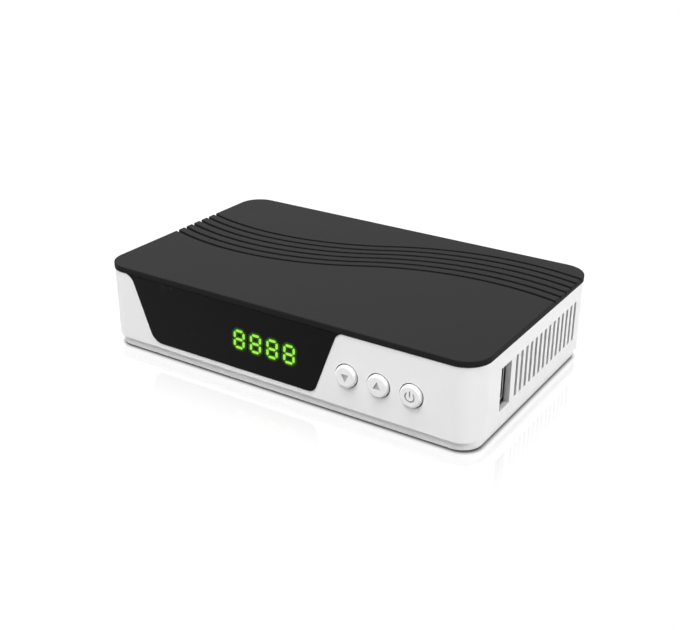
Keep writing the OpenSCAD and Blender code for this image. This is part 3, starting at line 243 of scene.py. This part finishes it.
class Wire:
    """A node's output that takes part in Python arithmetic: each operation adds one Math node."""

    def __init__(self, graph, socket):
        self.graph = graph
        self.socket = socket

    def math(self, operation, first, second=0.0):
        """One step of arithmetic."""
        return self.graph.node("Math", {"operation": operation}, {0: first, 1: second})

    def __add__(self, other):
        return self.math("ADD", self, other)

    def __sub__(self, other):
        return self.math("SUBTRACT", self, other)

    def __rsub__(self, other):
        return self.math("SUBTRACT", other, self)

    def __mul__(self, other):
        return self.math("MULTIPLY", self, other)

    def __gt__(self, other):
        return self.math("GREATER_THAN", self, other)

    def __lt__(self, other):
        return self.math("LESS_THAN", self, other)

    def __abs__(self):
        return self.math("ABSOLUTE", self)

    __radd__ = __add__
    __rmul__ = __mul__


class Graph:
    """The node tree of a material or of the world."""

    def __init__(self, owner):
        owner.use_nodes = True
        self.owner = owner
        self.tree = owner.node_tree
        self.tree.nodes.clear()

    def node(self, kind, settings=None, sockets=None, output=0):
        """Add a node, with its settings first and then its sockets' values or links, and wire an output."""
        made = self.tree.nodes.new("ShaderNode" + kind)
        for name, value in (settings or {}).items():
            setattr(made, name, value)
        for name, value in (sockets or {}).items():
            if isinstance(value, Wire):
                self.tree.links.new(value.socket, made.inputs[name])
            else:
                made.inputs[name].default_value = value
        return Wire(self, made.outputs[output]) if made.outputs else None

    def mix(self, factor, low, high):
        """A colour between two colours."""
        return self.node("Mix", {"data_type": "RGBA"}, {0: factor, 6: low, 7: high}, 2)

    def place(self, stretch=(1, 1, 1)):
        """Object coordinates, stretched."""
        spot = self.node("TexCoord", output="Object")
        return self.node("Mapping", {}, {"Vector": spot, "Scale": stretch})

    def axis(self, letter):
        """One of the object coordinates."""
        return self.node("SeparateXYZ", {}, {0: self.place()}, letter)

    def noise(self, size, detail=3.0, stretch=(1, 1, 1)):
        """Soft noise from 0 to 1 whose spots are about size wide."""
        return self.node("TexNoise", {}, {"Vector": self.place(stretch), "Scale": 1 / size, "Detail": detail})

    def vector(self, operation, first, second=(0, 0, 0), output="Vector"):
        """One step of vector arithmetic."""
        return self.node("VectorMath", {"operation": operation}, {0: first, 1: second}, output)

    def bump(self, height, depth):
        """A normal that follows a height from 0 to 1, depth deep."""
        return self.node("Bump", {}, {"Height": height, "Distance": depth, "Strength": 1.0})

    def surface(self, sockets):
        """The material's one shader."""
        shader = self.node("BsdfPrincipled", {}, sockets)
        self.node("OutputMaterial", {}, {"Surface": shader})


def new_graph(name):
    """The empty node tree of a new material."""
    return Graph(bpy.data.materials.new(name))


def shade(tone, factor=1.0):
    """A colour made lighter or darker, as a socket takes it."""
    return (*(channel * factor for channel in tone), 1.0)


# Finishes

# Width of the patches in mouldings, of the smudges on metal, of its drawn lines, and how those are stretched
PATCH = 14 * MM
SMUDGE = 5 * MM
DRAWN_LINE = 1.2 * MM
DRAWN_STRETCH = (1, 1, 12)

# How far the roughness swings with patches, pits, smudges and drawn lines
PATCH_SHEEN = 0.08
PIT_SHEEN = 0.06
SMUDGE_SHEEN = 0.16
LINE_SHEEN = 0.1

# Roughness of tin plate, and how bare its metal is
TIN_PLATE = {"rough": 0.34, "bare": 0.55}

# Spacing of the circuit boards' tracks and pads, and the share of their spacing that pads take up
TRACK_PITCH = 9 * MM
PAD_PITCH = 4 * MM
PAD_SHARE = 0.14

# A low index keeps the mirror image in the window faint
WINDOW_INDEX = 1.19

# Faces of the capacitors that look up more than this are bare
LOOKS_UP = 0.8


def moulded(name, tone, rough, grain, depth, gloss=0.5, mottle=0.03):
    """A moulded plastic: its tool's grain, in millimetres, and patches of another tone and sheen."""
    g = new_graph(name)
    patches = g.noise(PATCH)
    pits = g.noise(grain * MM)
    g.surface({
        "Base Color": g.mix(patches, shade(tone, 1 - mottle), shade(tone, 1 + mottle)),
        "Roughness": rough + (patches - 0.5) * PATCH_SHEEN + (pits - 0.5) * PIT_SHEEN,
        "Specular IOR Level": gloss,
        "Normal": g.bump(pits, depth * MM),
    })


def cap_with_painted_gap_shade(name, tone, under, edge):
    """A white cap, painted black from a little behind the wall's face inwards so the gap round it reads dark:
    painted shade.
    """
    g = new_graph(name)
    # Painted shade: past this edge the cap is black, so the gap round it reads dark
    bare = g.axis("Y") > edge
    pits = g.noise(0.5 * MM)
    white_face = g.mix(g.noise(PATCH), shade(tone, 0.994), shade(tone))
    g.surface({
        "Base Color": g.mix(bare, white_face, shade(under)),
        "Roughness": 0.27 + (pits - 0.5) * PIT_SHEEN + bare * 0.2,
        "Normal": g.bump(pits, 0.003 * MM),
    })


def plated(name, tone, rough, bare=1.0):
    """Plated metal: fine drawn lines and soft smudges in its sheen."""
    g = new_graph(name)
    smudges = g.noise(SMUDGE)
    drawn = g.noise(DRAWN_LINE, 4.0, DRAWN_STRETCH)
    g.surface({
        "Base Color": g.mix(smudges, shade(tone, 0.9), shade(tone)),
        "Metallic": bare,
        "Roughness": rough + (smudges - 0.5) * SMUDGE_SHEEN + (drawn - 0.5) * LINE_SHEEN,
        "Normal": g.bump(drawn, 0.01 * MM),
    })


def shell_with_painted_mouth_shade(name, tone, mouth_shade_black, sizes, rough, bare):
    """The side socket's plated shell, with black painted inside its mouth as shade."""
    g = new_graph(name)
    low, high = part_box("data_socket_shell")
    middle = (low + high) / 2
    # Painted shade: black between the shell's walls, back from its rim
    between_walls = abs(g.axis("Y") - middle.y) < high.y - middle.y - sizes.mouth_wall
    shaded_mouth = between_walls * (g.axis("X") < high.x - sizes.mouth_lip)
    smudges = g.noise(SMUDGE)
    metal = g.mix(smudges, shade(tone, 0.9), shade(tone))
    g.surface({
        "Base Color": g.mix(shaded_mouth, metal, shade(mouth_shade_black)),
        "Metallic": bare * (1 - shaded_mouth),
        "Roughness": rough + (smudges - 0.5) * SMUDGE_SHEEN + shaded_mouth * 0.2,
    })


def rubber(name, tone):
    """Black rubber with a dusty bloom."""
    g = new_graph(name)
    bloom = g.noise(2.5 * MM, 4.0)
    g.surface({
        "Base Color": g.mix(bloom, shade(tone, 0.36), shade(tone)),
        "Roughness": 0.75 + (bloom - 0.5) * 0.2,
        "Specular IOR Level": 0.3,
        "Normal": g.bump(g.noise(0.25 * MM, 2.0), 0.02 * MM),
    })


def circuit_board(name, tone, solder):
    """Green solder mask over copper tracks, with tinned pads."""
    g = new_graph(name)
    tracks = g.node("TexBrick", {"offset": 0.37, "squash": 0.7}, {
        "Vector": g.place(), "Scale": 1 / TRACK_PITCH, "Mortar Size": 0.03}, "Fac")
    cells = g.node("TexVoronoi", {}, {
        "Vector": g.place(), "Scale": 1 / PAD_PITCH, "Randomness": 0.8}, "Distance")
    pads = cells < PAD_SHARE
    mask = g.mix(tracks, shade(tone), shade(tone, 1.7))
    g.surface({
        "Base Color": g.mix(pads, mask, shade(solder)),
        "Metallic": pads,
        "Roughness": 0.3 + pads * 0.12,
        "Normal": g.bump(tracks, 0.03 * MM),
    })


def smoked_window(name, tone):
    """Glossy smoke-tinted window: dark by day, clear enough for a lit display behind it."""
    g = new_graph(name)
    haze = g.noise(9 * MM)
    g.surface({
        "Base Color": g.mix(haze, shade(tone, 0.9), shade(tone, 1.1)),
        "Roughness": 0.03 + haze * 0.03,
        "IOR": WINDOW_INDEX,
        "Transmission Weight": 1.0,
    })


def lit_plastic(name, tone, plastic, strength):
    """Lit plastic of the display, a little uneven behind its diffuser."""
    g = new_graph(name)
    cloud = g.noise(1.2 * MM, 2.0)
    g.surface({
        "Base Color": shade(plastic),
        "Roughness": 0.4,
        "Emission Color": g.mix(cloud, shade(tone, 0.85), shade(tone)),
        "Emission Strength": strength,
    })


def capacitor_can(name, tone, metal):
    """Shrink sleeve on the side, bare aluminium on top."""
    g = new_graph(name)
    facing = g.node("SeparateXYZ", {}, {0: g.node("NewGeometry", output="Normal")}, "Z")
    bare = facing > LOOKS_UP
    scuffs = g.noise(1.5 * MM)
    g.surface({
        "Base Color": g.mix(bare, shade(tone), shade(metal)),
        "Metallic": bare,
        "Roughness": 0.28 + scuffs * 0.15,
    })


def make_finishes(colours, sizes):
    """Make a material for each of the record's slots, and a few that only one piece has."""
    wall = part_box("case_shell")[LOW].y
    moulded("cover_black", colours.cover, rough=0.42, grain=0.4, depth=0.012, gloss=0.012)
    moulded("case_white", colours.case, rough=0.32, grain=0.6, depth=0.004, mottle=0.008)
    moulded("plinth_white", colours.plinth, rough=0.4, grain=0.5, depth=0.006, mottle=0.008)
    cap_with_painted_gap_shade("key_white", colours.case, colours.cap_gap_shade, wall + sizes.gap_shade_edge)
    moulded("sign_grey", colours.sign, rough=0.5, grain=0.3, depth=0.004, gloss=0.3)
    moulded("panel_black", colours.panel, rough=0.5, grain=0.45, depth=0.03, gloss=0.25)
    moulded("switch_black", colours.switch, rough=0.4, grain=0.4, depth=0.01)
    moulded("switch_grey", colours.stem, rough=0.42, grain=0.4, depth=0.01)
    moulded("socket_black", colours.socket, rough=0.42, grain=0.35, depth=0.012, gloss=0.3)
    moulded("display_black", colours.display, rough=0.6, grain=0.5, depth=0.01, gloss=0.02)
    moulded("insulator_cream", colours.cream, rough=0.4, grain=0.4, depth=0.01)
    moulded("audio_orange", colours.orange, rough=0.35, grain=0.4, depth=0.008)
    moulded("chip_black", colours.chip, rough=0.55, grain=0.2, depth=0.02)
    moulded("sink_black", colours.sink, rough=0.45, grain=0.3, depth=0.01)
    moulded("coil_grey", colours.coil, rough=0.6, grain=0.3, depth=0.03)
    plated("screw_steel", colours.steel, rough=0.32)
    plated("shield_tin", colours.tin, **TIN_PLATE)
    shell_with_painted_mouth_shade("lined_tin", colours.tin, colours.mouth_shade_black, sizes, **TIN_PLATE)
    plated("contact_gold", colours.gold, rough=0.24)
    rubber("rubber_black", colours.rubber)
    circuit_board("board_green", colours.board, colours.solder)
    capacitor_can("can_blue", colours.sleeve, colours.can)
    lit_plastic("segment_green", colours.lit, colours.unlit, colours.shine)
    lit_plastic("segment_glow", colours.glow, colours.unlit, colours.shine)
    smoked_window("window_smoke", colours.smoke)


# Modelling helpers

def pick(piece):
    """Make a piece the only one selected, and the active one."""
    bpy.ops.object.select_all(action="DESELECT")
    piece.select_set(True)
    bpy.context.view_layer.objects.active = piece


def edit(piece):
    """Open a piece in edit mode with all of it selected."""
    pick(piece)
    bpy.ops.object.mode_set(mode="EDIT")
    bpy.ops.mesh.select_all(action="SELECT")


def leave():
    """Go back to object mode."""
    bpy.ops.object.mode_set(mode="OBJECT")


def apply_modifier(piece, kind, **settings):
    """Give a piece a modifier and apply it."""
    pick(piece)
    modifier = piece.modifiers.new(kind.lower(), kind)
    for name, value in settings.items():
        setattr(modifier, name, value)
    bpy.ops.object.modifier_apply(modifier=modifier.name)


def apply_place(piece):
    """Move a piece's place, turn and scale into its mesh."""
    pick(piece)
    bpy.ops.object.transform_apply(location=True, rotation=True, scale=True)


def merged_copy(node, name):
    """A copy of a CAD node as one closed mesh with large flat faces."""
    piece = bpy.data.objects.new(name, NODES[node].data.copy())
    bpy.context.collection.objects.link(piece)
    pick(piece)
    bpy.ops.mesh.customdata_custom_splitnormals_clear()
    edit(piece)
    bpy.ops.mesh.remove_doubles(threshold=WELD)
    bpy.ops.mesh.dissolve_limited(angle_limit=FLAT)
    leave()
    return piece


def bar(name, low, high):
    """A bar between two corners."""
    bpy.ops.object.select_all(action="DESELECT")
    bpy.ops.mesh.primitive_cube_add(size=1, location=(low + high) / 2)
    piece = bpy.context.object
    piece.name = name
    piece.scale = high - low
    apply_place(piece)
    return piece


def carve(piece, cutter, finish):
    """Cut one piece out of another, and give the cut a finish."""
    coat(cutter, finish)
    apply_modifier(piece, "BOOLEAN", operation="DIFFERENCE", solver="EXACT", object=cutter,
                   material_mode="TRANSFER")
    bpy.data.objects.remove(cutter)


def repeat(piece, count, step):
    """Repeat a piece in a row, as one piece."""
    apply_modifier(piece, "ARRAY", count=count, use_relative_offset=False, use_constant_offset=True,
                   constant_offset_displace=step)


def smooth(piece, corner):
    """Shade a piece smooth across edges flatter than a corner, with its large faces left flat."""
    pick(piece)
    bpy.ops.object.shade_smooth_by_angle(angle=corner)
    apply_modifier(piece, "WEIGHTED_NORMAL", keep_sharp=True)


def soften(piece, width):
    """Round off the sharp edges of a piece."""
    apply_modifier(piece, "BEVEL", width=width, segments=2, limit_method="ANGLE", angle_limit=SHELL_CORNER,
                   use_clamp_overlap=False, harden_normals=False)
    smooth(piece, SHELL_CORNER)


def span(points):
    """The lowest and the highest corner of the box round some points."""
    rows = list(zip(*points))
    return Vector([min(row) for row in rows]), Vector([max(row) for row in rows])


def coat(piece, finish):
    """Give a piece one finish all over."""
    piece.data.materials.clear()
    piece.data.materials.append(bpy.data.materials[finish])


def ride_for(piece, node):
    """Put a piece on the body of a CAD node."""
    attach(piece, NODES[node]["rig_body"])


def settle(piece, node):
    """Let a piece stand for a CAD node: on its body, in its slot, with its finish."""
    coat(piece, SLOT_OF[node])
    ride_for(piece, node)
    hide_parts(node)


def dress(piece, slot):
    """Put a new piece on the housing, in a slot and with its finish."""
    coat(piece, slot)
    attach(piece, "housing")


# Pieces

# A CAD node and the dressed piece that stands for it
SHELLS = {
    "top_cover": "grooved_cover",
    "case_shell": "white_case",
    "base_tray": "plinth_tray",
    "rear_panel": "rear_plate",
    "rubber_feet": "soft_feet",
    "antenna_in_socket": "antenna_in_barrel",
    "antenna_out_plug": "antenna_out_barrel",
    "audio_socket_sleeve": "audio_sleeve",
    "audio_socket_body": "audio_body",
    "av_socket": "av_block",
    "dc_jack": "dc_barrel",
}
BUTTONS = {
    "down_button": "down_cap",
    "up_button": "up_cap",
    "power_button": "power_cap",
}

# A group of screws, its dressed piece, and the end of its box that the heads are at
SCREWS = {
    "case_screws": ("case_cross_screws", LOW),
    "board_screws": ("board_cross_screws", HIGH),
}

# A CAD node whose finish isn't its slot's plain one: the side socket's shell, with painted shade in its mouth
OWN_FINISH = {"data_socket_shell": "lined_tin"}

# Numbers of contacts on the two faces of the video socket's tongue and in a row of the 21-pin socket
UPPER_STRIPS = 10
LOWER_STRIPS = 9
BLADES_IN_ROW = 10

# Share of its depth that the glow round the lit bars keeps, as a film
FILM = 0.05

# Steps of the power sign's ring and of each corner of the black frame painted as shade round the side socket
RING_STEPS = 56
GAP_SHADE_STEPS = 6


class RECEIVER_OT_finishes(Operator):
    """Make the finishes and give each CAD node its own"""
    bl_idname = "receiver.finishes"
    bl_label = "Finishes"

    def execute(self, context):
        for plain in list(bpy.data.materials):
            bpy.data.materials.remove(plain)
        make_finishes(context.scene.receiver_colours, context.scene.receiver_sizes)
        for name, node in NODES.items():
            coat(node, OWN_FINISH.get(name, SLOT_OF[name]))
        return {"FINISHED"}


def square_hem(piece, node, corner, rounding):
    """Draw the rounded lower edge of a shell's outer wall out to a crisp one."""
    low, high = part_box(node)
    middle = (low + high) / 2
    core = (high - low) / 2 - Vector((corner, corner, 0))
    for vertex in piece.data.vertices:
        off = vertex.co - middle
        past = Vector((max(abs(off.x) - core.x, 0), max(abs(off.y) - core.y, 0)))
        arm = Vector((rounding - corner + past.length, low.z + rounding - vertex.co.z))
        if min(arm) > -TOUCH and abs(arm.length - rounding) < 2 * TOUCH:
            stretch = corner / past.length
            vertex.co.x += math.copysign(past.x * (stretch - 1), off.x)
            vertex.co.y += math.copysign(past.y * (stretch - 1), off.y)


class RECEIVER_OT_shells(Operator):
    """Dress the moulded shells with softened edges"""
    bl_idname = "receiver.shells"
    bl_label = "Shells"

    def execute(self, context):
        sizes = context.scene.receiver_sizes
        for node, name in SHELLS.items():
            piece = merged_copy(node, name)
            if node == "case_shell":
                square_hem(piece, node, sizes.case_corner, sizes.case_hem)
            soften(piece, sizes.edge)
            settle(piece, node)
        return {"FINISHED"}


def arrow(centre, sizes, down):
    """A prism with three sides that points up or down, sunk through a button's face."""
    radius = sizes.arrow_w / math.sqrt(3)
    plain_h = 1.5 * radius
    bpy.ops.object.select_all(action="DESELECT")
    bpy.ops.mesh.primitive_cylinder_add(
        vertices=3, radius=radius, depth=2 * sizes.icon_depth, location=centre,
        rotation=(math.radians(-90 if down else 90), 0, 0))
    piece = bpy.context.object
    piece.scale.y = sizes.arrow_h / plain_h
    apply_place(piece)
    return piece


def power_ring(centre, sizes):
    """The power sign's open ring: a square section spun about the button's axis."""
    radius = (sizes.ring_d - sizes.ring_line) / 2
    bpy.ops.object.select_all(action="DESELECT")
    bpy.ops.mesh.primitive_plane_add(size=1, location=(0, 0, 0))
    ring = bpy.context.object
    ring.scale = (sizes.ring_line, 2 * sizes.icon_depth, 1)
    apply_place(ring)
    turn = Quaternion((0, 1, 0), sizes.ring_gap - math.radians(90))
    ring.rotation_mode = "QUATERNION"
    ring.rotation_quaternion = turn
    ring.location = centre + turn @ Vector((radius, 0, 0))
    apply_place(ring)
    edit(ring)
    bpy.ops.mesh.spin(steps=RING_STEPS, angle=2 * (math.pi - sizes.ring_gap), center=centre, axis=(0, -1, 0))
    bpy.ops.mesh.select_all(action="SELECT")
    bpy.ops.mesh.remove_doubles(threshold=WELD)
    bpy.ops.mesh.normals_make_consistent(inside=False)
    leave()
    return ring


def power_bar(centre, sizes):
    """The power sign's upright bar."""
    half = Vector((sizes.ring_line / 2, sizes.icon_depth, 0))
    return bar("power_bar", centre - half - Vector((0, 0, sizes.bar_low)),
               centre + half + Vector((0, 0, sizes.bar_high)))


class RECEIVER_OT_buttons(Operator):
    """Sink the arrows and the power sign in the button caps"""
    bl_idname = "receiver.buttons"
    bl_label = "Buttons"

    def execute(self, context):
        sizes = context.scene.receiver_sizes
        for node, name in BUTTONS.items():
            low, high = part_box(node)
            centre = Vector(((low.x + high.x) / 2, low.y, (low.z + high.z) / 2))
            piece = merged_copy(node, name)
            settle(piece, node)
            if node == "power_button":
                cutters = [power_ring(centre, sizes), power_bar(centre, sizes)]
            else:
                cutters = [arrow(centre, sizes, node == "down_button")]
            for cutter in cutters:
                # The sunk faces take the grey that is painted shade
                carve(piece, cutter, "sign_grey")
            smooth(piece, CARVED_CORNER)
        return {"FINISHED"}


class RECEIVER_OT_display(Operator):
    """Bring the display's lit bars forward and lay their glow round them"""
    bl_idname = "receiver.display"
    bl_label = "Display"

    def execute(self, context):
        sizes = context.scene.receiver_sizes
        node = "display_segments"
        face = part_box(node)[LOW].y
        bars = merged_copy(node, "lit_bars")
        edit(bars)
        bpy.ops.transform.shrink_fatten(value=-sizes.bar_trim, use_even_offset=True)
        bpy.ops.transform.translate(value=(0, -sizes.bar_raise - sizes.bar_trim, 0))
        leave()
        settle(bars, node)
        glow = merged_copy(node, "bar_glow")
        edit(glow)
        bpy.ops.transform.shrink_fatten(value=sizes.glow_w, use_even_offset=True)
        bpy.ops.transform.resize(value=(1, FILM, 1), center_override=(0, face, 0))
        leave()
        coat(glow, "segment_glow")
        ride_for(glow, node)
        return {"FINISHED"}


def head_centres(node, top):
    """Centres of the heads of four screws, one in each corner, from the points at the level of their tops."""
    low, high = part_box(node)
    middle = (low + high) / 2
    heads = {}
    for vertex in NODES[node].data.vertices:
        if abs(vertex.co.z - top) < TOUCH:
            corner = (vertex.co.x > middle.x, vertex.co.y > middle.y)
            heads.setdefault(corner, []).append(vertex.co)
    return [(first + last) / 2 for first, last in map(span, heads.values())]


class RECEIVER_OT_screws(Operator):
    """Cut the cross recesses in the heads of the screws"""
    bl_idname = "receiver.screws"
    bl_label = "Screws"

    def execute(self, context):
        sizes = context.scene.receiver_sizes
        arm = Vector((sizes.recess_arm, sizes.recess_w / 2, sizes.recess_depth))
        for node, (name, end) in SCREWS.items():
            piece = merged_copy(node, name)
            settle(piece, node)
            for centre in head_centres(node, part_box(node)[end].z):
                for half in (arm, arm.yxz):
                    carve(piece, bar("recess", centre - half, centre + half), SLOT_OF[node])
            smooth(piece, CARVED_CORNER)
        return {"FINISHED"}


def round_bar(name, low, high, radius):
    """A bar along X whose four long edges are rounded."""
    piece = bar(name, low, high)
    edit(piece)
    bpy.ops.mesh.select_mode(type="EDGE")
    bpy.ops.mesh.select_all(action="DESELECT")
    leave()
    for side in piece.data.edges:
        first, last = (piece.data.vertices[end].co for end in side.vertices)
        side.select = abs(last.x - first.x) > TOUCH
    bpy.ops.object.mode_set(mode="EDIT")
    bpy.ops.mesh.bevel(offset=radius, segments=GAP_SHADE_STEPS)
    leave()
    return piece


class RECEIVER_OT_gap_shade_frame(Operator):
    """Lay a black frame between the side socket's rim and the wall: painted shade for the gap there"""
    bl_idname = "receiver.seal"
    bl_label = "Seal"

    def execute(self, context):
        sizes = context.scene.receiver_sizes
        low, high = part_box("data_socket_shell")
        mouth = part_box("data_socket_tongue")
        centre = Vector((high.x, (low.y + high.y) / 2, (mouth[LOW].z + mouth[HIGH].z) / 2))
        rim = Vector((0, high.y - centre.y, high.z - centre.z))
        outside = rim + Vector((0, sizes.gap_shade_out, sizes.gap_shade_out))
        inside = rim - Vector((0, sizes.gap_shade_in, sizes.gap_shade_in))
        depth = Vector((sizes.gap_shade_t, 0, 0))
        # Painted shade: a black frame over the gap between the socket's rim and the wall
        piece = round_bar("socket_seal", centre - outside, centre + outside + depth, sizes.gap_shade_corner)
        hole = round_bar("hole", centre - inside - depth, centre + inside + 2 * depth, sizes.gap_shade_corner)
        carve(piece, hole, "rubber_black")
        soften(piece, sizes.fine_edge)
        dress(piece, "rubber_black")
        return {"FINISHED"}


class RECEIVER_OT_contacts(Operator):
    """Lay the contacts in the video socket and in the 21-pin socket"""
    bl_idname = "receiver.contacts"
    bl_label = "Contacts"

    def execute(self, context):
        sizes = context.scene.receiver_sizes
        tongue = [vertex.co for vertex in NODES["video_socket_tongue"].data.vertices]
        end = span(tongue)[HIGH].y
        low, high = span([point for point in tongue if end - point.y < TOUCH])
        self.lay_strips("video_strips_upper", UPPER_STRIPS, sizes, low, high, high.z)
        self.lay_strips("video_strips_lower", LOWER_STRIPS, sizes, low, high, low.z - sizes.strip_t)
        self.stand_blades(sizes)
        return {"FINISHED"}

    def lay_strips(self, name, count, sizes, low, high, foot):
        """Gold strips on a face of the video socket's tongue, back from its tip."""
        size = Vector((sizes.strip_w, sizes.strip_l, sizes.strip_t))
        first = (low.x + high.x - (count - 1) * sizes.strip_pitch - sizes.strip_w) / 2
        start = Vector((first, high.y - sizes.strip_t - sizes.strip_l, foot))
        piece = bar(name, start, start + size)
        soften(piece, sizes.fine_edge)
        repeat(piece, count, (sizes.strip_pitch, 0, 0))
        dress(piece, "contact_gold")

    def stand_blades(self, sizes):
        """Tinned blades in the slits of the 21-pin socket."""
        low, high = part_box("av_socket")
        middle = (low + high) / 2
        size = Vector((sizes.blade_t, sizes.blade_l, sizes.blade_h))
        first = Vector((middle.x + sizes.blade_shift - (BLADES_IN_ROW - 1) / 2 * sizes.blade_pitch,
                        high.y - sizes.blade_back - sizes.blade_l / 2, middle.z - sizes.blade_row / 2))
        piece = bar("av_blades", first - size / 2, first + size / 2)
        soften(piece, sizes.blade_edge)
        repeat(piece, BLADES_IN_ROW, (sizes.blade_pitch, 0, 0))
        repeat(piece, 2, (0, 0, sizes.blade_row))
        dress(piece, "shield_tin")


# Stage

# Each lamp's direction from the object in degrees, and the sides of its soft box in metres
LAMPS = {
    "upper": {"azimuth": -10, "elevation": 72, "width": 0.36, "height": 1.0},
    "side": {"azimuth": 95, "elevation": 29, "width": 0.45, "height": 0.45},
    "rear": {"azimuth": 225, "elevation": 35, "width": 0.5, "height": 0.5},
}
LAMP_AWAY = 1.1
CLIP_START = 10 * MM


def lay_floor(stage):
    """A pale floor that reads white behind the object, with a faint real shadow and a painted contact shadow
    round the plinth.
    """
    bpy.ops.object.select_all(action="DESELECT")
    bpy.ops.mesh.primitive_plane_add(size=stage.floor_size)
    floor = bpy.context.object
    floor.name = "floor"
    g = new_graph("pale_floor")
    plain = g.node("BsdfDiffuse", {}, {"Color": shade(WHITE, stage.floor_bounce)})
    lit = g.node("BsdfDiffuse", {}, {"Color": shade(WHITE, stage.floor_white)})
    low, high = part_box("base_tray")
    beside = Vector((stage.floor_side, 0, 0))
    distance = off_plinth(g, low - beside, high + beside, stage.floor_corner)
    # Painted contact shadow: the floor's glow dims near the plinth's outline
    line = g.node("MapRange", {"interpolation_type": "SMOOTHSTEP"}, {
        "Value": distance, "From Min": -stage.floor_under, "From Max": stage.floor_out,
        "To Min": stage.floor_line, "To Max": 1.0})
    fade = g.node("MapRange", {}, {
        "Value": distance, "From Min": 0.0, "From Max": stage.floor_reach,
        "To Min": stage.floor_sheen, "To Max": 0.0})
    bright = g.mix(line, shade(WHITE, 0), shade(WHITE))
    glow = g.node("Emission", {}, {"Color": bright, "Strength": stage.floor_glow})
    sheen = g.node("BsdfGlossy", {}, {"Color": shade(WHITE), "Roughness": stage.floor_blur})
    bare = g.node("AddShader", {}, {0: lit, 1: glow})
    shown = g.node("MixShader", {}, {0: fade * line, 1: bare, 2: sheen})
    surface = g.node("MixShader", {}, {0: seen_directly(g), 1: plain, 2: shown})
    g.node("OutputMaterial", {}, {"Surface": surface})
    floor.data.materials.append(g.owner)


def off_plinth(g, low, high, corner):
    """Distance on the floor from the outline of a piece with round corners."""
    middle = (low + high) / 2
    flat = Vector((*(high - low).xy / 2, 1)) - Vector((corner, corner, 0))
    off = g.vector("ABSOLUTE", g.vector("SUBTRACT", g.place(), (*middle.xy, 0)))
    past = g.vector("MAXIMUM", g.vector("SUBTRACT", off, flat))
    return g.vector("LENGTH", past, output="Value") - corner


def seen_directly(g):
    """1 for rays from the camera, or through glass or off a gloss, and 0 for light on the object."""
    path = g.node("LightPath").socket.node
    straight, mirrored, through = (Wire(g, path.outputs[name]) for name in (
        "Is Camera Ray", "Is Glossy Ray", "Is Transmission Ray"))
    return straight + mirrored + through > 0.5


def light_world(stage):
    """White surroundings that light the object at a plain level."""
    world = bpy.data.worlds.new("surroundings")
    bpy.context.scene.world = world
    g = Graph(world)
    strength = stage.world + seen_directly(g) * (1 - stage.world)
    sky = g.node("Background", {}, {"Color": shade(WHITE), "Strength": strength})
    g.node("OutputWorld", {}, {"Surface": sky})


def direction(azimuth, elevation):
    """The way out from the object: azimuth turns from the front to the right, in radians."""
    return Vector((math.sin(azimuth) * math.cos(elevation), -math.cos(azimuth) * math.cos(elevation),
                   math.sin(elevation)))


def hang_lamp(name, aim, power, azimuth, elevation, width, height):
    """A soft box that shines at a point."""
    out = direction(math.radians(azimuth), math.radians(elevation))
    lamp = bpy.data.lights.new(name, "AREA")
    lamp.shape = "RECTANGLE"
    lamp.size = width
    lamp.size_y = height
    lamp.energy = power
    holder = bpy.data.objects.new(name, lamp)
    bpy.context.collection.objects.link(holder)
    holder.location = aim + out * LAMP_AWAY
    holder.rotation_mode = "QUATERNION"
    holder.rotation_quaternion = (-out).to_track_quat("-Z", "Y")
    holder.visible_glossy = False


def set_camera(stage):
    """The camera at the photograph's angle."""
    back = direction(stage.azimuth, stage.elevation)
    camera = bpy.data.cameras.new("camera")
    camera.lens = stage.lens
    camera.clip_start = CLIP_START
    holder = bpy.data.objects.new("camera", camera)
    bpy.context.collection.objects.link(holder)
    holder.location = stage.camera
    holder.rotation_mode = "QUATERNION"
    holder.rotation_quaternion = (-back).to_track_quat("-Z", "Y") @ Quaternion((0, 0, 1), stage.roll)
    bpy.context.scene.camera = holder


class RECEIVER_OT_stage(Operator):
    """Set the floor, the soft light and the camera"""
    bl_idname = "receiver.stage"
    bl_label = "Stage"

    def execute(self, context):
        stage = context.scene.receiver_stage
        middle = (CAD_BOX[LOW] + CAD_BOX[HIGH]) / 2
        lay_floor(stage)
        light_world(stage)
        for name, shape in LAMPS.items():
            hang_lamp(name + "_lamp", middle, getattr(stage, name), **shape)
        set_camera(stage)
        context.scene.view_settings.view_transform = "Standard"
        return {"FINISHED"}


OPERATORS = (RECEIVER_OT_finishes, RECEIVER_OT_shells, RECEIVER_OT_buttons, RECEIVER_OT_display,
             RECEIVER_OT_screws, RECEIVER_OT_gap_shade_frame, RECEIVER_OT_contacts, RECEIVER_OT_stage)


class RECEIVER_PT_panel(Panel):
    """Lists the steps that dress the receiver"""
    bl_idname = "RECEIVER_PT_panel"
    bl_label = "Receiver"
    bl_space_type = "VIEW_3D"
    bl_region_type = "UI"
    bl_category = "Receiver"

    def draw(self, context):
        for step in OPERATORS:
            self.layout.operator(step.bl_idname)


GROUPS = {"receiver_sizes": ReceiverSizes, "receiver_colours": ReceiverColours,
          "receiver_stage": ReceiverStage}
CLASSES = (*GROUPS.values(), *OPERATORS, RECEIVER_PT_panel)


def register():
    for made in CLASSES:
        bpy.utils.register_class(made)
    for name, group in GROUPS.items():
        setattr(bpy.types.Scene, name, PointerProperty(type=group))


def unregister():
    for name in GROUPS:
        delattr(bpy.types.Scene, name)
    for made in reversed(CLASSES):
        bpy.utils.unregister_class(made)


def main():
    """Dress the receiver step by step."""
    register()
    bpy.ops.receiver.finishes()
    bpy.ops.receiver.shells()
    bpy.ops.receiver.buttons()
    bpy.ops.receiver.display()
    bpy.ops.receiver.screws()
    bpy.ops.receiver.seal()
    bpy.ops.receiver.contacts()
    bpy.ops.receiver.stage()


if __name__ == "__main__":
    main()
